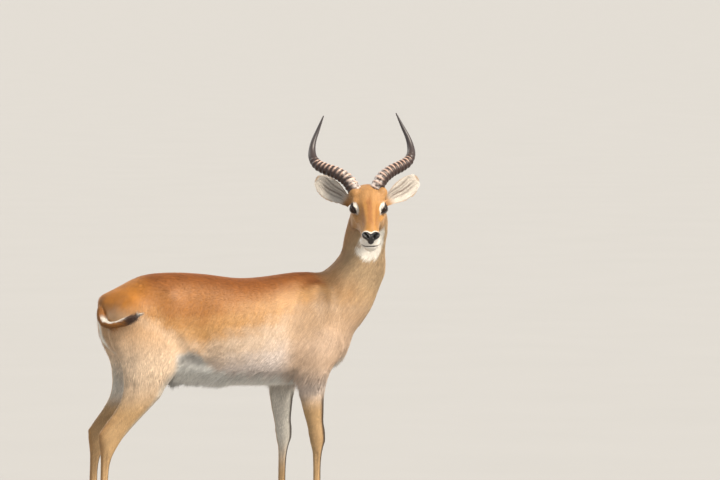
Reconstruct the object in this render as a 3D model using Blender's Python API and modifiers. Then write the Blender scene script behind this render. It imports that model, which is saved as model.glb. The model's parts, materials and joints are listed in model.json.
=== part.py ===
"""A male Uganda kob standing at life size, its head turned to look over its right side.

The animal faces +X, its left side is +Y and +Z is up. Its origin lies on the ground, under the
middle of its bounding box. Body shapes are written in centimetres for an animal 94 cm tall at
the shoulder, and CM turns them to metres, so SHOULDER_HEIGHT rescales the whole animal.

Each mass of flesh is lofted through a few stations. A voxel remesh joins them into one body, and
smoothing rounds the creases where they meet. Thin slabs then part that body into named pieces,
and the horns, ears, eyes, nose pad, tail and hooves are trimmed to seat against it.
"""

import math

import bmesh
import bpy
import numpy as np
from mathutils import Matrix, Vector

# ---------------------------------------------------------------- driving dimensions
SHOULDER_HEIGHT = 0.94
CM = SHOULDER_HEIGHT / 94.0
GAP = 0.0004  # left between pieces of flesh, and round the eyes, in metres
SEAT_GAP = 0.0011  # left round what grows from the flesh, where creases narrow the gap
STANCE_CENTRE = (19.57, -7.5)  # cm, the ground point under the middle of the bounding box

# How the head is carried: turned from straight ahead towards the right side, then nodded.
EYE_MIDPOINT = (58.0, -17.0, 116.8)  # cm
HEAD_TURN = -100.5  # degrees
HEAD_NOD = 28.0  # degrees
LEFT_FORE_SETBACK = 9.0  # cm that the left fore foot stands behind the right one

EYE_CENTRE = (0.6, 5.0, 0.4)  # cm in head space, left eye
EYE_RADIUS = 1.75
HORN_RINGS = 14
HORN_LEAN = 2.0  # degrees that the pair of horns tips towards the right side
HORN_SHIFT = -0.7  # cm that the pair stands off the middle of the head, towards its right
CORONET_HEIGHT = 4.3

FLESH_VOXEL = 0.45  # cm
EVEN_TRIANGLES = 6900  # while all flesh is thinned alike
FLESH_TRIANGLES = 3400  # after the rest is thinned again and the head isn't
HEAD_REACH = 19.0  # cm from between the eyes, within which the head keeps its finer triangles

COAT = (0.62, 0.36, 0.17)
PALE_COAT = (0.80, 0.66, 0.50)
HORN_BROWN = (0.10, 0.08, 0.065)
HOOF_BLACK = (0.07, 0.06, 0.05)
NOSE_BLACK = (0.03, 0.027, 0.026)
EYE_BROWN = (0.02, 0.014, 0.01)


# ---------------------------------------------------------------- shape helpers
def spline(stations, count):
    """Rows of numbers read from a Catmull-Rom curve through the stations, evenly by index."""
    rows = np.asarray(stations, float)
    padded = np.vstack([2 * rows[0] - rows[1], rows, 2 * rows[-1] - rows[-2]])
    at = np.linspace(0, len(rows) - 1, count)
    i = np.minimum(at.astype(int), len(rows) - 2)
    t = (at - i)[:, None]
    a, b, c, d = (padded[i + k] for k in range(4))
    square, cube = 2 * a - 5 * b + 4 * c - d, 3 * b - a - 3 * c + d
    return 0.5 * (2 * b + (c - a) * t + square * t**2 + cube * t**3)


def evenly(stations, count):
    """The same curve, read at equal steps along its first three numbers."""
    fine = spline(stations, 400)
    steps = np.linalg.norm(np.diff(fine[:, :3], axis=0), axis=1)
    run = np.concatenate([[0.0], np.cumsum(steps)])
    at = np.linspace(0, run[-1], count)
    return np.column_stack([np.interp(at, run, fine[:, k]) for k in range(fine.shape[1])])


def mesh_object(name, bm):
    mesh = bpy.data.meshes.new(name)
    bm.to_mesh(mesh)
    bm.free()
    made = bpy.data.objects.new(name, mesh)
    bpy.context.scene.collection.objects.link(made)
    return made


def loft(name, rings):
    """A closed skin over rings, each a list of the same number of points in centimetres."""
    bm = bmesh.new()
    rows = [[bm.verts.new(Vector(point) * CM) for point in ring] for ring in rings]
    sides = len(rows[0])
    for low, high in zip(rows, rows[1:]):
        for k in range(sides):
            bm.faces.new((low[k], low[(k + 1) % sides], high[(k + 1) % sides], high[k]))
    bm.faces.new(rows[0][::-1])
    bm.faces.new(rows[-1])
    bmesh.ops.recalc_face_normals(bm, faces=bm.faces)
    return mesh_object(name, bm)


def around(sides):
    """The cosine and sine at each corner of a ring."""
    return [(math.cos(math.tau * k / sides), math.sin(math.tau * k / sides)) for k in range(sides)]


def squared(value, squareness):
    """Bends a cosine or sine towards a superellipse; squareness 2 leaves it an ellipse."""
    return math.copysign(abs(value) ** (2.0 / squareness), value)


def long_body(name, stations, squareness=2.0, steps=48, sides=32):
    """A mass lofted along X. Station: x, top, bottom, half width, share of height at the widest."""
    rings = []
    for x, top, bottom, wide, belly in spline(stations, steps):
        waist = bottom + belly * (top - bottom)
        ring = []
        for c, s in around(sides):
            c, s = squared(c, squareness), squared(s, squareness)
            ring.append((x, wide * c, waist + s * (top - waist if s > 0 else waist - bottom)))
        rings.append(ring)
    return loft(name, rings)


def level_body(name, stations, steps=40, sides=24):
    """A mass of level sections. Station: x, y, z, long half, side half, heading of its long axis."""
    rings = []
    for x, y, z, long_half, side_half, heading in spline(stations, steps):
        turn = Matrix.Rotation(math.radians(heading), 3, "Z")
        rings.append([Vector((x, y, z)) + turn @ Vector((c * long_half, s * side_half, 0))
                      for c, s in around(sides)])
    return loft(name, rings)


def tube(name, rows, sides, ahead=(0, 0, 1)):
    """A tube along rows of x, y, z, radius; ahead fixes where its rings start."""
    rings = []
    for row, run in zip(rows, np.gradient(rows[:, :3], axis=0)):
        run = Vector(run).normalized()
        up = Vector(ahead)
        up = (up - run * up.dot(run)).normalized()
        across = run.cross(up)
        rings.append([Vector(row[:3]) + (across * c + up * s) * row[3] for c, s in around(sides)])
    return loft(name, rings)


def egg(name, at, radii, turn=(0, 0, 0), segments=20):
    """An egg of muscle or bone: centre and radii in cm, turned by degrees about X, then Y, then Z."""
    bm = bmesh.new()
    bmesh.ops.create_uvsphere(bm, u_segments=segments, v_segments=segments * 2 // 3, radius=1.0)
    spin = Matrix.Identity(4)
    for degrees, axis in zip(turn, "XYZ"):
        spin = Matrix.Rotation(math.radians(degrees), 4, axis) @ spin
    size = Matrix.Diagonal((*[radius * CM for radius in radii], 1))
    bmesh.ops.transform(bm, matrix=Matrix.Translation(Vector(at) * CM) @ spin @ size, verts=bm.verts)
    return mesh_object(name, bm)


# ---------------------------------------------------------------- trunk and neck
def trunk_masses():
    barrel = long_body("barrel", [
        # x, top, bottom, half width, share of height at the widest
        (-37.2, 84.5, 77.0, 2.2, 0.5),
        (-35.6, 86.6, 70.0, 6.0, 0.5),
        (-30.0, 89.4, 64.0, 11.0, 0.5),
        (-21.0, 93.5, 59.5, 13.6, 0.5),
        (-10.0, 94.4, 56.2, 14.4, 0.48),
        (2.0, 93.6, 54.0, 15.8, 0.45),
        (14.0, 92.0, 53.3, 16.8, 0.42),
        (24.0, 92.5, 53.3, 16.2, 0.42),
        (33.0, 93.7, 53.8, 13.8, 0.42),
        (41.0, 93.9, 55.5, 11.2, 0.44),
        (48.0, 92.0, 58.4, 9.4, 0.48),
        (53.0, 86.0, 62.0, 7.2, 0.5),
        (56.0, 80.0, 68.0, 3.6, 0.5),
    ], squareness=2.15)
    made = [barrel]
    for side in (-1, 1):
        made += [
            egg("shoulder blade", (38.5, side * 8.6, 79.0), (8.5, 4.2, 13.0), (side * 8, 24, 0)),
            egg("upper arm", (43.5, side * 8.6, 67.5), (8.0, 4.6, 8.5), (0, -30, 0)),
            egg("hip", (-13.0, side * 8.4, 84.5), (6.0, 4.6, 5.4), (0, -20, 0)),
            egg("haunch", (-24.5, side * 8.0, 77.0), (10.5, 6.6, 10.5), (0, 12, 0)),
        ]
    made.append(egg("sheath", (-9.5, 0, 57.5), (6.0, 2.6, 3.0), (0, -6, 0)))
    return made


def neck_mass():
    return level_body("neck", [
        # x, y, z, long half, side half, heading of the long axis
        (41.5, 0.0, 66.0, 11.0, 7.6, 0),
        (46.6, 0.0, 73.0, 12.0, 8.2, 0),
        (50.4, 0.0, 80.0, 13.0, 8.4, 0),
        (52.8, -0.3, 87.0, 13.4, 8.0, -2),
        (55.8, -0.8, 92.5, 12.2, 7.4, -5),
        (58.4, -1.4, 96.5, 9.8, 6.9, -8),
        (59.7, -2.0, 100.5, 8.1, 6.6, -14),
        (60.1, -2.8, 104.5, 7.7, 6.5, -24),
        (60.5, -4.6, 109.0, 7.8, 6.5, -48),
        (60.6, -6.6, 114.0, 7.6, 6.3, -80),
        (60.2, -8.4, 118.5, 5.6, 5.2, -95),
    ])


# ---------------------------------------------------------------- legs
FORE_LEG = [
    # z, front x, back x, distance from midline, half width
    (80.0, 44.0, 34.0, 6.5, 3.6),
    (72.0, 50.0, 32.0, 8.0, 4.6),
    (64.0, 49.5, 31.5, 8.8, 5.2),
    (58.0, 46.2, 32.4, 9.1, 4.9),
    (53.5, 44.3, 33.6, 9.0, 4.1),
    (49.0, 43.8, 34.4, 8.8, 3.5),
    (44.0, 43.7, 35.6, 8.7, 3.1),
    (40.0, 43.6, 36.8, 8.6, 2.7),
    (36.5, 43.9, 37.7, 8.6, 2.7),
    (33.0, 43.9, 38.3, 8.6, 2.6),
    (29.5, 43.0, 39.2, 8.6, 2.05),
    (25.0, 42.5, 39.4, 8.6, 1.6),
    (18.0, 42.4, 39.4, 8.6, 1.5),
    (13.0, 42.6, 39.2, 8.6, 1.75),
    (10.2, 43.3, 38.9, 8.6, 2.2),
    (7.4, 44.0, 40.1, 8.6, 1.95),
    (5.0, 45.2, 40.6, 8.6, 2.25),
    (2.5, 46.2, 41.2, 8.6, 2.3),
]
HIND_LEG = [
    (86.0, -15.0, -31.0, 5.0, 4.0),
    (80.0, -10.0, -35.4, 7.0, 6.0),
    (74.0, -6.6, -35.6, 8.0, 6.8),
    (69.0, -5.6, -34.2, 8.6, 6.8),
    (64.5, -6.8, -32.4, 8.8, 6.4),
    (60.0, -9.4, -30.9, 8.9, 5.7),
    (55.5, -12.0, -30.1, 8.8, 5.0),
    (51.5, -15.0, -30.5, 8.6, 4.3),
    (48.0, -18.0, -31.8, 8.4, 3.7),
    (44.0, -21.8, -34.3, 8.2, 3.2),
    (40.5, -25.2, -36.9, 8.0, 2.8),
    (37.5, -28.0, -38.7, 7.9, 2.7),
    (35.0, -30.2, -38.9, 7.8, 2.65),
    (32.0, -32.2, -38.5, 7.8, 2.5),
    (29.0, -33.8, -38.2, 7.8, 2.1),
    (25.0, -34.9, -38.2, 7.8, 1.75),
    (19.0, -35.3, -38.4, 7.8, 1.6),
    (13.0, -35.3, -38.7, 7.8, 1.75),
    (10.2, -34.6, -39.0, 7.8, 2.2),
    (7.4, -33.6, -37.5, 7.8, 1.95),
    (5.0, -32.2, -36.8, 7.8, 2.2),
    (2.5, -31.0, -36.0, 7.8, 2.3),
]
LEGS = {
    # name: stations, side of the body, setback of its foot in cm, x of the hoof's heel
    "fore_L": (FORE_LEG, 1, LEFT_FORE_SETBACK, 40.2),
    "fore_R": (FORE_LEG, -1, 0.0, 40.2),
    "hind_L": (HIND_LEG, 1, 0.8, -37.2),
    "hind_R": (HIND_LEG, -1, 0.0, -37.2),
}
HAUNCHES = (-22.0, 0.0, 68.0)  # cm, a point between the thighs
HIP_HEIGHT = 82.0  # cm, where a leg that stands further back starts to slope


def setback_at(z, setback):
    """How far back a leg runs at a height, when its foot stands back by setback."""
    return -setback * (1 - min(max(z, 0) / HIP_HEIGHT, 1) ** 3)


def leg_mass(stations, side, setback, steps=70, sides=20):
    """A limb of level sections, a little narrower behind than in front."""
    rings = []
    for z, front, back, out, wide in spline(stations, steps):
        middle = (front + back) / 2 + setback_at(z, setback)
        rings.append([(middle + s * (front - back) / 2, side * out + c * wide * (1 + 0.12 * s), z)
                      for c, s in around(sides)])
    return loft("leg", rings)


# ---------------------------------------------------------------- head
def level_frame():
    """Turned with the head but not nodded: origin between the eyes, +X ahead, +Y to its left."""
    turn = Matrix.Rotation(math.radians(HEAD_TURN), 4, "Z")
    return Matrix.Translation(Vector(EYE_MIDPOINT) * CM) @ turn


def head_frame():
    """Head space: as the level frame, but nodded, so that +X runs along the muzzle."""
    return level_frame() @ Matrix.Rotation(math.radians(HEAD_NOD), 4, "Y")


def placed(pieces, frame):
    for piece in pieces:
        piece.data.transform(frame)
    return pieces


def head_masses():
    skull = long_body("skull", [
        # x, top, bottom, half width, share of height at the widest
        (-11.5, 2.5, -4.0, 3.2, 0.55),
        (-10.0, 4.4, -7.0, 5.0, 0.55),
        (-7.0, 5.9, -9.6, 5.8, 0.6),
        (-3.5, 6.0, -10.8, 5.7, 0.64),
        (0.0, 5.0, -10.8, 5.1, 0.66),
        (3.0, 3.9, -10.2, 4.3, 0.62),
        (6.0, 2.9, -9.6, 3.6, 0.56),
        (9.0, 2.0, -9.1, 3.35, 0.5),
        (12.0, 1.1, -8.9, 3.3, 0.48),
        (14.3, 0.1, -8.9, 3.4, 0.48),
        (16.0, -1.2, -8.0, 2.9, 0.5),
        (17.0, -2.8, -6.6, 1.8, 0.5),
    ], squareness=2.25)
    made = [skull]
    for side in (-1, 1):
        made += [
            egg("brow", (-0.9, side * 4.5, 2.0), (3.0, 1.7, 1.8), (0, 18, side * 8)),
            egg("cheekbone", (0.6, side * 4.0, -2.6), (4.2, 1.9, 1.5), (0, 12, side * -8)),
            egg("cheek", (-4.0, side * 4.0, -5.8), (5.0, 2.1, 4.4), (0, -12, 0)),
            egg("nostril wing", (14.9, side * 1.9, -2.0), (2.3, 1.6, 1.7)),
            egg("lip", (13.4, side * 1.8, -5.4), (3.3, 1.9, 1.8)),
            egg("horn root", (-4.8, side * 4.8, 3.7), (2.8, 2.3, 2.3)),
            egg("ear root", (-6.9, side * 5.3, 1.6), (2.3, 1.9, 2.3)),
        ]
    made.append(egg("chin", (13.0, 0, -8.2), (2.6, 2.2, 1.5)))
    return placed(made, head_frame())


def nose_pad():
    lobes = [egg("lobe", (16.0, side * 1.45, -1.7), (1.5, 1.9, 1.35), (side * 32, 0, 0), segments=8)
             for side in (-1, 1)]
    lobes.append(egg("philtrum", (16.3, 0, -2.9), (1.35, 1.6, 1.8), segments=8))
    return placed([united("nose_pad", lobes)], head_frame())[0]


def eye(name, side):
    ball = egg(name, (EYE_CENTRE[0], side * EYE_CENTRE[1], EYE_CENTRE[2]), [EYE_RADIUS] * 3, segments=12)
    return placed([ball], head_frame())[0]


# Horn and ear stations are in the level frame: back, out and up from between the eyes.
HORN_PATH = [
    # back, out, up, radius
    (3.3, 3.1, 5.2, 1.8),
    (3.5, 3.8, 6.6, 2.4),
    (4.0, 4.7, 8.1, 2.45),
    (5.5, 6.4, 10.5, 2.35),
    (8.2, 9.7, 12.8, 2.2),
    (11.0, 13.2, 14.2, 2.08),
    (13.8, 16.2, 15.8, 1.88),
    (16.5, 17.7, 18.2, 1.58),
    (18.8, 17.8, 21.0, 1.25),
    (20.2, 17.0, 24.3, 0.93),
    (21.1, 15.3, 28.2, 0.64),
    (21.0, 13.1, 33.2, 0.2),
]
RING_SHARE = 0.60  # share of the horn's length that carries rings
RING_HEIGHT = 0.22


def horn(name, side):
    """A horn whose rings are ridges of its radius, fading out before the smooth tip."""
    rows = evenly(HORN_PATH, 3 * HORN_RINGS + 8)
    along = np.linspace(0, 1, len(rows))
    fade = np.clip((RING_SHARE - along) / 0.12, 0, 1) * np.clip(along / 0.08, 0, 1)
    rows[:, 3] += RING_HEIGHT * fade * np.cos(math.tau * HORN_RINGS * along / RING_SHARE)
    rows[:, 0] *= -1
    rows[:, 1] *= side
    made = tube(name, rows, 8, ahead=(1, 0, 0.2))
    lean = Matrix.Rotation(math.radians(HORN_LEAN), 4, "X")
    made.data.transform(Matrix.Translation((0, HORN_SHIFT * CM, 0)) @ lean)
    return placed([made], level_frame())[0]


EAR_BASE = (6.4, 6.0, 1.4)  # back, out, up
EAR_TIP = (8.6, 18.0, 10.9)
EAR_SECTIONS = [
    # share of length, half width, depth of the cup, shift towards the lower edge
    (0.0, 1.7, 1.6, 0.0),
    (0.16, 2.3, 2.1, 0.1),
    (0.34, 3.3, 2.2, 0.3),
    (0.54, 4.2, 1.9, 0.5),
    (0.76, 3.9, 1.4, 0.5),
    (0.92, 2.7, 0.8, 0.35),
    (1.0, 1.0, 0.3, 0.1),
]
EAR_WALL = 0.42


def ear(name, side):
    """A cupped leaf, open to the front; each section runs round the back and returns inside."""
    base = Vector((-EAR_BASE[0], side * EAR_BASE[1], EAR_BASE[2]))
    tip = Vector((-EAR_TIP[0], side * EAR_TIP[1], EAR_TIP[2]))
    axis = (tip - base).normalized()
    opening = Vector((1, side * 0.25, -0.1))
    opening = (opening - axis * opening.dot(axis)).normalized()
    lower = axis.cross(opening) * side
    rings = []
    for share, wide, cup, shift in spline(EAR_SECTIONS, 9):
        centre = base.lerp(tip, share)
        wall = min(EAR_WALL, wide)
        ring = []
        for k in range(7):
            y = -1 + k / 3
            ring.append(centre + lower * (shift + wide * y) - opening * cup * (1 - y * y))
        for k in range(1, 6):
            y = (1 - k / 3) * (1 - wall / wide / 2)
            deep = (cup - wall) * (1 - y * y) - wall * 0.4
            ring.append(centre + lower * (shift + wide * y) - opening * deep)
        rings.append(ring)
    return placed([loft(name, rings)], level_frame())[0]


# ---------------------------------------------------------------- tail
TAIL_PATH = [
    # x, y, z, radius
    (-32.0, 0.0, 83.5, 2.1),
    (-35.2, -1.2, 82.6, 2.1),
    (-37.0, -4.4, 79.2, 1.8),
    (-36.8, -8.8, 76.8, 1.5),
    (-34.8, -12.4, 76.3, 1.4),
    (-31.6, -15.0, 77.2, 1.45),
    (-28.8, -16.4, 78.4, 1.3),
    (-26.2, -17.2, 79.6, 0.5),
]


def tail():
    return tube("tail", evenly(TAIL_PATH, 14), 8)


# ---------------------------------------------------------------- feet
CLAW_LENGTH = 6.6
CLAW_WIDTH = 2.15
CLEFT = 0.35  # between the two claws of a foot
CORONET_NORMAL = (-0.22, 0, 1)


def claw(name, heel_x, y, outward):
    """Half a cloven hoof: flat sole, sloping front wall, pointed toe, tall enough to be trimmed."""
    rings = []
    for height, length, back, width in ((0.0, 1.0, 0.0, 1.0), (0.5, 0.98, 0.02, 1.04),
                                        (2.4, 0.82, 0.05, 1.02), (6.4, 0.5, 0.1, 0.86)):
        ring = []
        for c, s in around(10):
            narrow = 1 - 0.42 * max(c, 0) ** 1.5
            x = heel_x + CLAW_LENGTH * (back + length * (0.5 + 0.5 * c))
            across = CLAW_WIDTH * (0.5 * s * narrow * width + 0.16 * c * c)
            ring.append((x, y + outward * across, height))
        rings.append(ring)
    return trimmed_above(loft(name, rings), coronet(heel_x), CORONET_NORMAL)


def coronet(heel_x):
    """A point, in cm, on the plane where the hoof meets the pastern."""
    return heel_x + 2.5, 0.0, CORONET_HEIGHT


def trimmed_above(obj, at, normal):
    """Cuts a piece off flat at a plane, less half a gap."""
    normal = Vector(normal).normalized()
    bm = bmesh.new()
    bm.from_mesh(obj.data)
    bmesh.ops.bisect_plane(bm, geom=[*bm.verts, *bm.edges, *bm.faces], plane_no=normal,
                           plane_co=Vector(at) * CM - normal * GAP / 2, clear_outer=True)
    bmesh.ops.holes_fill(bm, edges=[edge for edge in bm.edges if edge.is_boundary])
    bm.to_mesh(obj.data)
    bm.free()
    return obj


def dewclaw(name, heel_x, y, outward):
    return egg(name, (heel_x - 0.5, y + outward * 0.5, 8.6), (0.85, 0.7, 1.15), (0, -24, 0), segments=6)


# ---------------------------------------------------------------- joining, smoothing and parting
def settled(obj):
    """Replaces an object's mesh with what its modifiers make of it."""
    bpy.context.view_layer.update()
    evaluated = obj.evaluated_get(bpy.context.evaluated_depsgraph_get())
    mesh = bpy.data.meshes.new_from_object(evaluated)
    obj.modifiers.clear()
    obj.data = mesh
    return obj


def joined(name, pieces):
    bm = bmesh.new()
    for piece in pieces:
        bm.from_mesh(piece.data)
        bpy.data.objects.remove(piece)
    return mesh_object(name, bm)


def with_boolean(obj, tool, operation, solver="EXACT"):
    cut = obj.modifiers.new("cut", "BOOLEAN")
    cut.operation = operation
    cut.solver = solver
    cut.object = tool
    return settled(obj)


def united(name, pieces):
    first, *others = pieces
    first.name = name
    for other in others:
        with_boolean(first, other, "UNION")
        bpy.data.objects.remove(other)
    return first


def fused(obj):
    """Joins overlapping masses into one skin, rounds their creases and thins its triangles."""
    union = obj.modifiers.new("union", "REMESH")
    union.mode = "VOXEL"
    union.voxel_size = FLESH_VOXEL * CM
    blend = obj.modifiers.new("blend", "SMOOTH")
    blend.factor = 0.5
    blend.iterations = 14
    settled(obj)
    thinned(obj, EVEN_TRIANGLES)
    plain = obj.vertex_groups.new(name="plain")
    eyes = Vector(EYE_MIDPOINT) * CM
    far = [vertex.index for vertex in obj.data.vertices if (vertex.co - eyes).length > HEAD_REACH * CM]
    plain.add(far, 1.0, "REPLACE")
    return thinned(obj, FLESH_TRIANGLES, "plain")


def thinned(obj, triangles, group=""):
    """Collapses edges down to a number of triangles, only in a vertex group where one is named."""
    thin = obj.modifiers.new("thin", "DECIMATE")
    thin.ratio = triangles / sum(len(face.vertices) - 2 for face in obj.data.polygons)
    thin.vertex_group = group
    return settled(obj)


def grown(obj, by):
    """A copy with every point moved out along its normal, to trim neighbours with a gap."""
    copy = obj.copy()
    copy.data = obj.data.copy()
    bpy.context.scene.collection.objects.link(copy)
    normals = [vertex.normal.copy() for vertex in copy.data.vertices]
    for vertex, normal in zip(copy.data.vertices, normals):
        vertex.co += normal * by
    return copy


def slab(at, normal, size, along=(0, 0, 1)):
    """A thin sheet to part flesh: centre and half sizes in cm; along is its second side."""
    normal = Vector(normal).normalized()
    side = Vector(along).cross(normal).normalized()
    rise = normal.cross(side)
    bm = bmesh.new()
    bmesh.ops.create_cube(bm, size=2.0)
    scale = Matrix.Diagonal((size[0] * CM, size[1] * CM, GAP / 2, 1))
    spin = Matrix((side, rise, normal)).transposed().to_4x4()
    bmesh.ops.transform(bm, matrix=Matrix.Translation(Vector(at) * CM) @ spin @ scale, verts=bm.verts)
    return mesh_object("slab", bm)


def body_slabs():
    heading = Matrix.Rotation(math.radians(HEAD_TURN), 3, "Z")
    across_poll = heading @ Vector((0.955, 0, 0.296))
    made = [
        slab((60.0, -10.0, 115.2), across_poll, (13, 12.5)),
        slab((53.5, 0, 86.5), (0.66, 0, 0.75), (20, 17), along=(0, 1, 0)),
        slab((-17.0, 0, 70.0), (0.70, 0, 0.714), (28, 19), along=(0, 1, 0)),
    ]
    for stations, side, setback, heel in LEGS.values():
        cuts = [(52.4, 39.0, 0.0), (35.0, 41.0, 0.0)]
        if stations is HIND_LEG:
            cuts = [(53.0, -21.5, 0.30), (41.5, -30.6, 0.42)]
        cuts.append((11.8, heel + 0.8, 0.0))
        for z, x, slope in cuts:
            at = (x + setback_at(z, setback), side * 8.4, z)
            made.append(slab(at, (slope, 0, 1), (10.5, 6.6), along=(0, 1, 0)))
        x, _, z = coronet(heel + setback_at(0, setback))
        made.append(slab((x, side * 8.4, z), CORONET_NORMAL, (10.5, 6.6), along=(0, 1, 0)))
    return made


# Each piece of flesh is known by a point inside it, in cm.
def flesh_points():
    head = head_frame()
    points = {
        "head": head @ (Vector((-2, 0, 0)) * CM),
        "neck": Vector((60, -1.5, 100)) * CM,
        "trunk": Vector((15, 0, 72)) * CM,
    }
    for name, (stations, side, setback, heel) in LEGS.items():
        place, letter = name.split("_")
        spots = {"forearm": (38.5, 45.0), "cannon": (40.8, 22.0), "pastern": (heel + 2.0, 7.0)}
        if place == "hind":
            spots = {"thigh": (-22.0, 66.0), "gaskin": (-25.5, 48.0), "cannon": (-36.8, 22.0),
                     "pastern": (heel + 2.0, 7.0)}
        for part, (x, z) in spots.items():
            points[f"{place}leg_{part}_{letter}"] = Vector((x + setback_at(z, setback), side * 8.5, z)) * CM
    return points


def loose_parts(obj):
    """Splits an object's mesh into its separate closed bodies."""
    bm = bmesh.new()
    bm.from_mesh(obj.data)
    waiting = set(bm.faces)
    parts = []
    while waiting:
        queue = [waiting.pop()]
        island = list(queue)
        while queue:
            for edge in queue.pop().edges:
                for face in edge.link_faces:
                    if face in waiting:
                        waiting.remove(face)
                        island.append(face)
                        queue.append(face)
        corners = {vert: Vector(vert.co) for face in island for vert in face.verts}
        part = bmesh.new()
        made = {vert: part.verts.new(place) for vert, place in corners.items()}
        for face in island:
            part.faces.new([made[vert] for vert in face.verts])
        parts.append(mesh_object("flesh", part))
    bm.free()
    return parts


def sliced(obj, sheets):
    """Cuts an object along thin sheets, which only the manifold solver does cleanly."""
    for sheet in sheets:
        with_boolean(obj, sheet, "DIFFERENCE", "MANIFOLD")
        bpy.data.objects.remove(sheet)
    parts = loose_parts(obj)
    bpy.data.objects.remove(obj)
    return parts


def parted(body):
    """Cuts the body into pieces, the haunches into two thighs, and names each by a point in it."""
    pieces = sliced(body, body_slabs())
    haunches = min(pieces, key=lambda piece: reach(piece, Vector(HAUNCHES) * CM))
    pieces.remove(haunches)
    pieces += sliced(haunches, [slab(HAUNCHES, (0, 1, 0), (40, 40), along=(1, 0, 0))])
    named = {}
    for name, point in flesh_points().items():
        best = min(pieces, key=lambda piece: reach(piece, point))
        best.name = name
        named[name] = best
    for piece in pieces:
        if piece not in named.values():
            bpy.data.objects.remove(piece)
    return named


def reach(piece, point):
    """Distance from a point to a piece's surface, least for the piece that the point is inside."""
    return (point - piece.closest_point_on_mesh(point)[1]).length


# ---------------------------------------------------------------- materials and collections
def material(name, colour, roughness):
    made = bpy.data.materials.new(name)
    made.use_nodes = True
    shader = made.node_tree.nodes["Principled BSDF"]
    shader.inputs["Base Color"].default_value = (*colour, 1)
    shader.inputs["Roughness"].default_value = roughness
    shader.inputs["Metallic"].default_value = 0.0
    return made


def finished(obj, colour, roughness, collection):
    """Puts a piece over the origin, with its own material, smooth shading and collection."""
    obj.data.transform(Matrix.Translation(Vector((-STANCE_CENTRE[0], -STANCE_CENTRE[1], 0)) * CM))
    obj.data.materials.clear()
    obj.data.materials.append(material(obj.name, colour, roughness))
    obj.data.shade_smooth()
    obj.data.set_sharp_from_angle(angle=math.radians(50))
    for other in list(obj.users_collection):
        other.objects.unlink(obj)
    collection.objects.link(obj)


def main():
    for obj in list(bpy.data.objects):
        bpy.data.objects.remove(obj)
    masses = [*trunk_masses(), neck_mass(), *head_masses()]
    masses += [leg_mass(stations, side, setback) for stations, side, setback, _ in LEGS.values()]
    body = fused(joined("body", masses))

    sockets = [eye("socket", side) for side in (-1, 1)]
    for socket in sockets:
        wider = grown(socket, GAP)
        with_boolean(body, wider, "DIFFERENCE")
        bpy.data.objects.remove(wider)
        bpy.data.objects.remove(socket)

    hard = {}
    trimmed = {}
    for side, letter in ((1, "L"), (-1, "R")):
        hard[f"eye_{letter}"] = (eye(f"eye_{letter}", side), EYE_BROWN, 0.08)
        trimmed[f"horn_{letter}"] = (horn(f"horn_{letter}", side), HORN_BROWN, 0.5)
        trimmed[f"ear_{letter}"] = (ear(f"ear_{letter}", side), PALE_COAT, 0.9)
    trimmed["nose_pad"] = (nose_pad(), NOSE_BLACK, 0.35)
    trimmed["tail"] = (tail(), COAT, 0.9)
    for name, (stations, side, setback, heel) in LEGS.items():
        for place, outward in (("outer", side), ("inner", -side)):
            heel_x = heel + setback_at(0, setback)
            y = side * stations[-1][3] + outward * (CLAW_WIDTH + CLEFT) / 2
            hoof_name, dewclaw_name = f"hoof_{place}_{name}", f"dewclaw_{place}_{name}"
            hard[hoof_name] = (claw(hoof_name, heel_x, y, outward), HOOF_BLACK, 0.4)
            trimmed[dewclaw_name] = (dewclaw(dewclaw_name, heel_x, y, outward), HOOF_BLACK, 0.5)

    tool = grown(body, SEAT_GAP)
    for obj, _, _ in trimmed.values():
        with_boolean(obj, tool, "DIFFERENCE")
    bpy.data.objects.remove(tool)
    flesh = parted(body)
    collection = bpy.data.collections.new("uganda_kob")
    bpy.context.scene.collection.children.link(collection)
    for name, piece in flesh.items():
        finished(piece, COAT, 0.9, collection)
    for obj, colour, roughness in [*hard.values(), *trimmed.values()]:
        finished(obj, colour, roughness, collection)


main()
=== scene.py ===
"""A male Uganda kob at life size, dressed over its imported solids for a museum.

The flesh is rebuilt from the same stations as the solids, joined into one skin, carved with the
finer forms of muscle, lids and lips, and drawn in by the depth of the coat. Geometry Nodes then
lay locks of hair over that skin. Skin and hair take their colour from the same markings.
Body shapes are written in centimetres, in the animal's own frame: it faces +X, its left is +Y.
"""
import json
import math

import bmesh
import bpy
import numpy as np
from mathutils import Matrix, Vector

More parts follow.
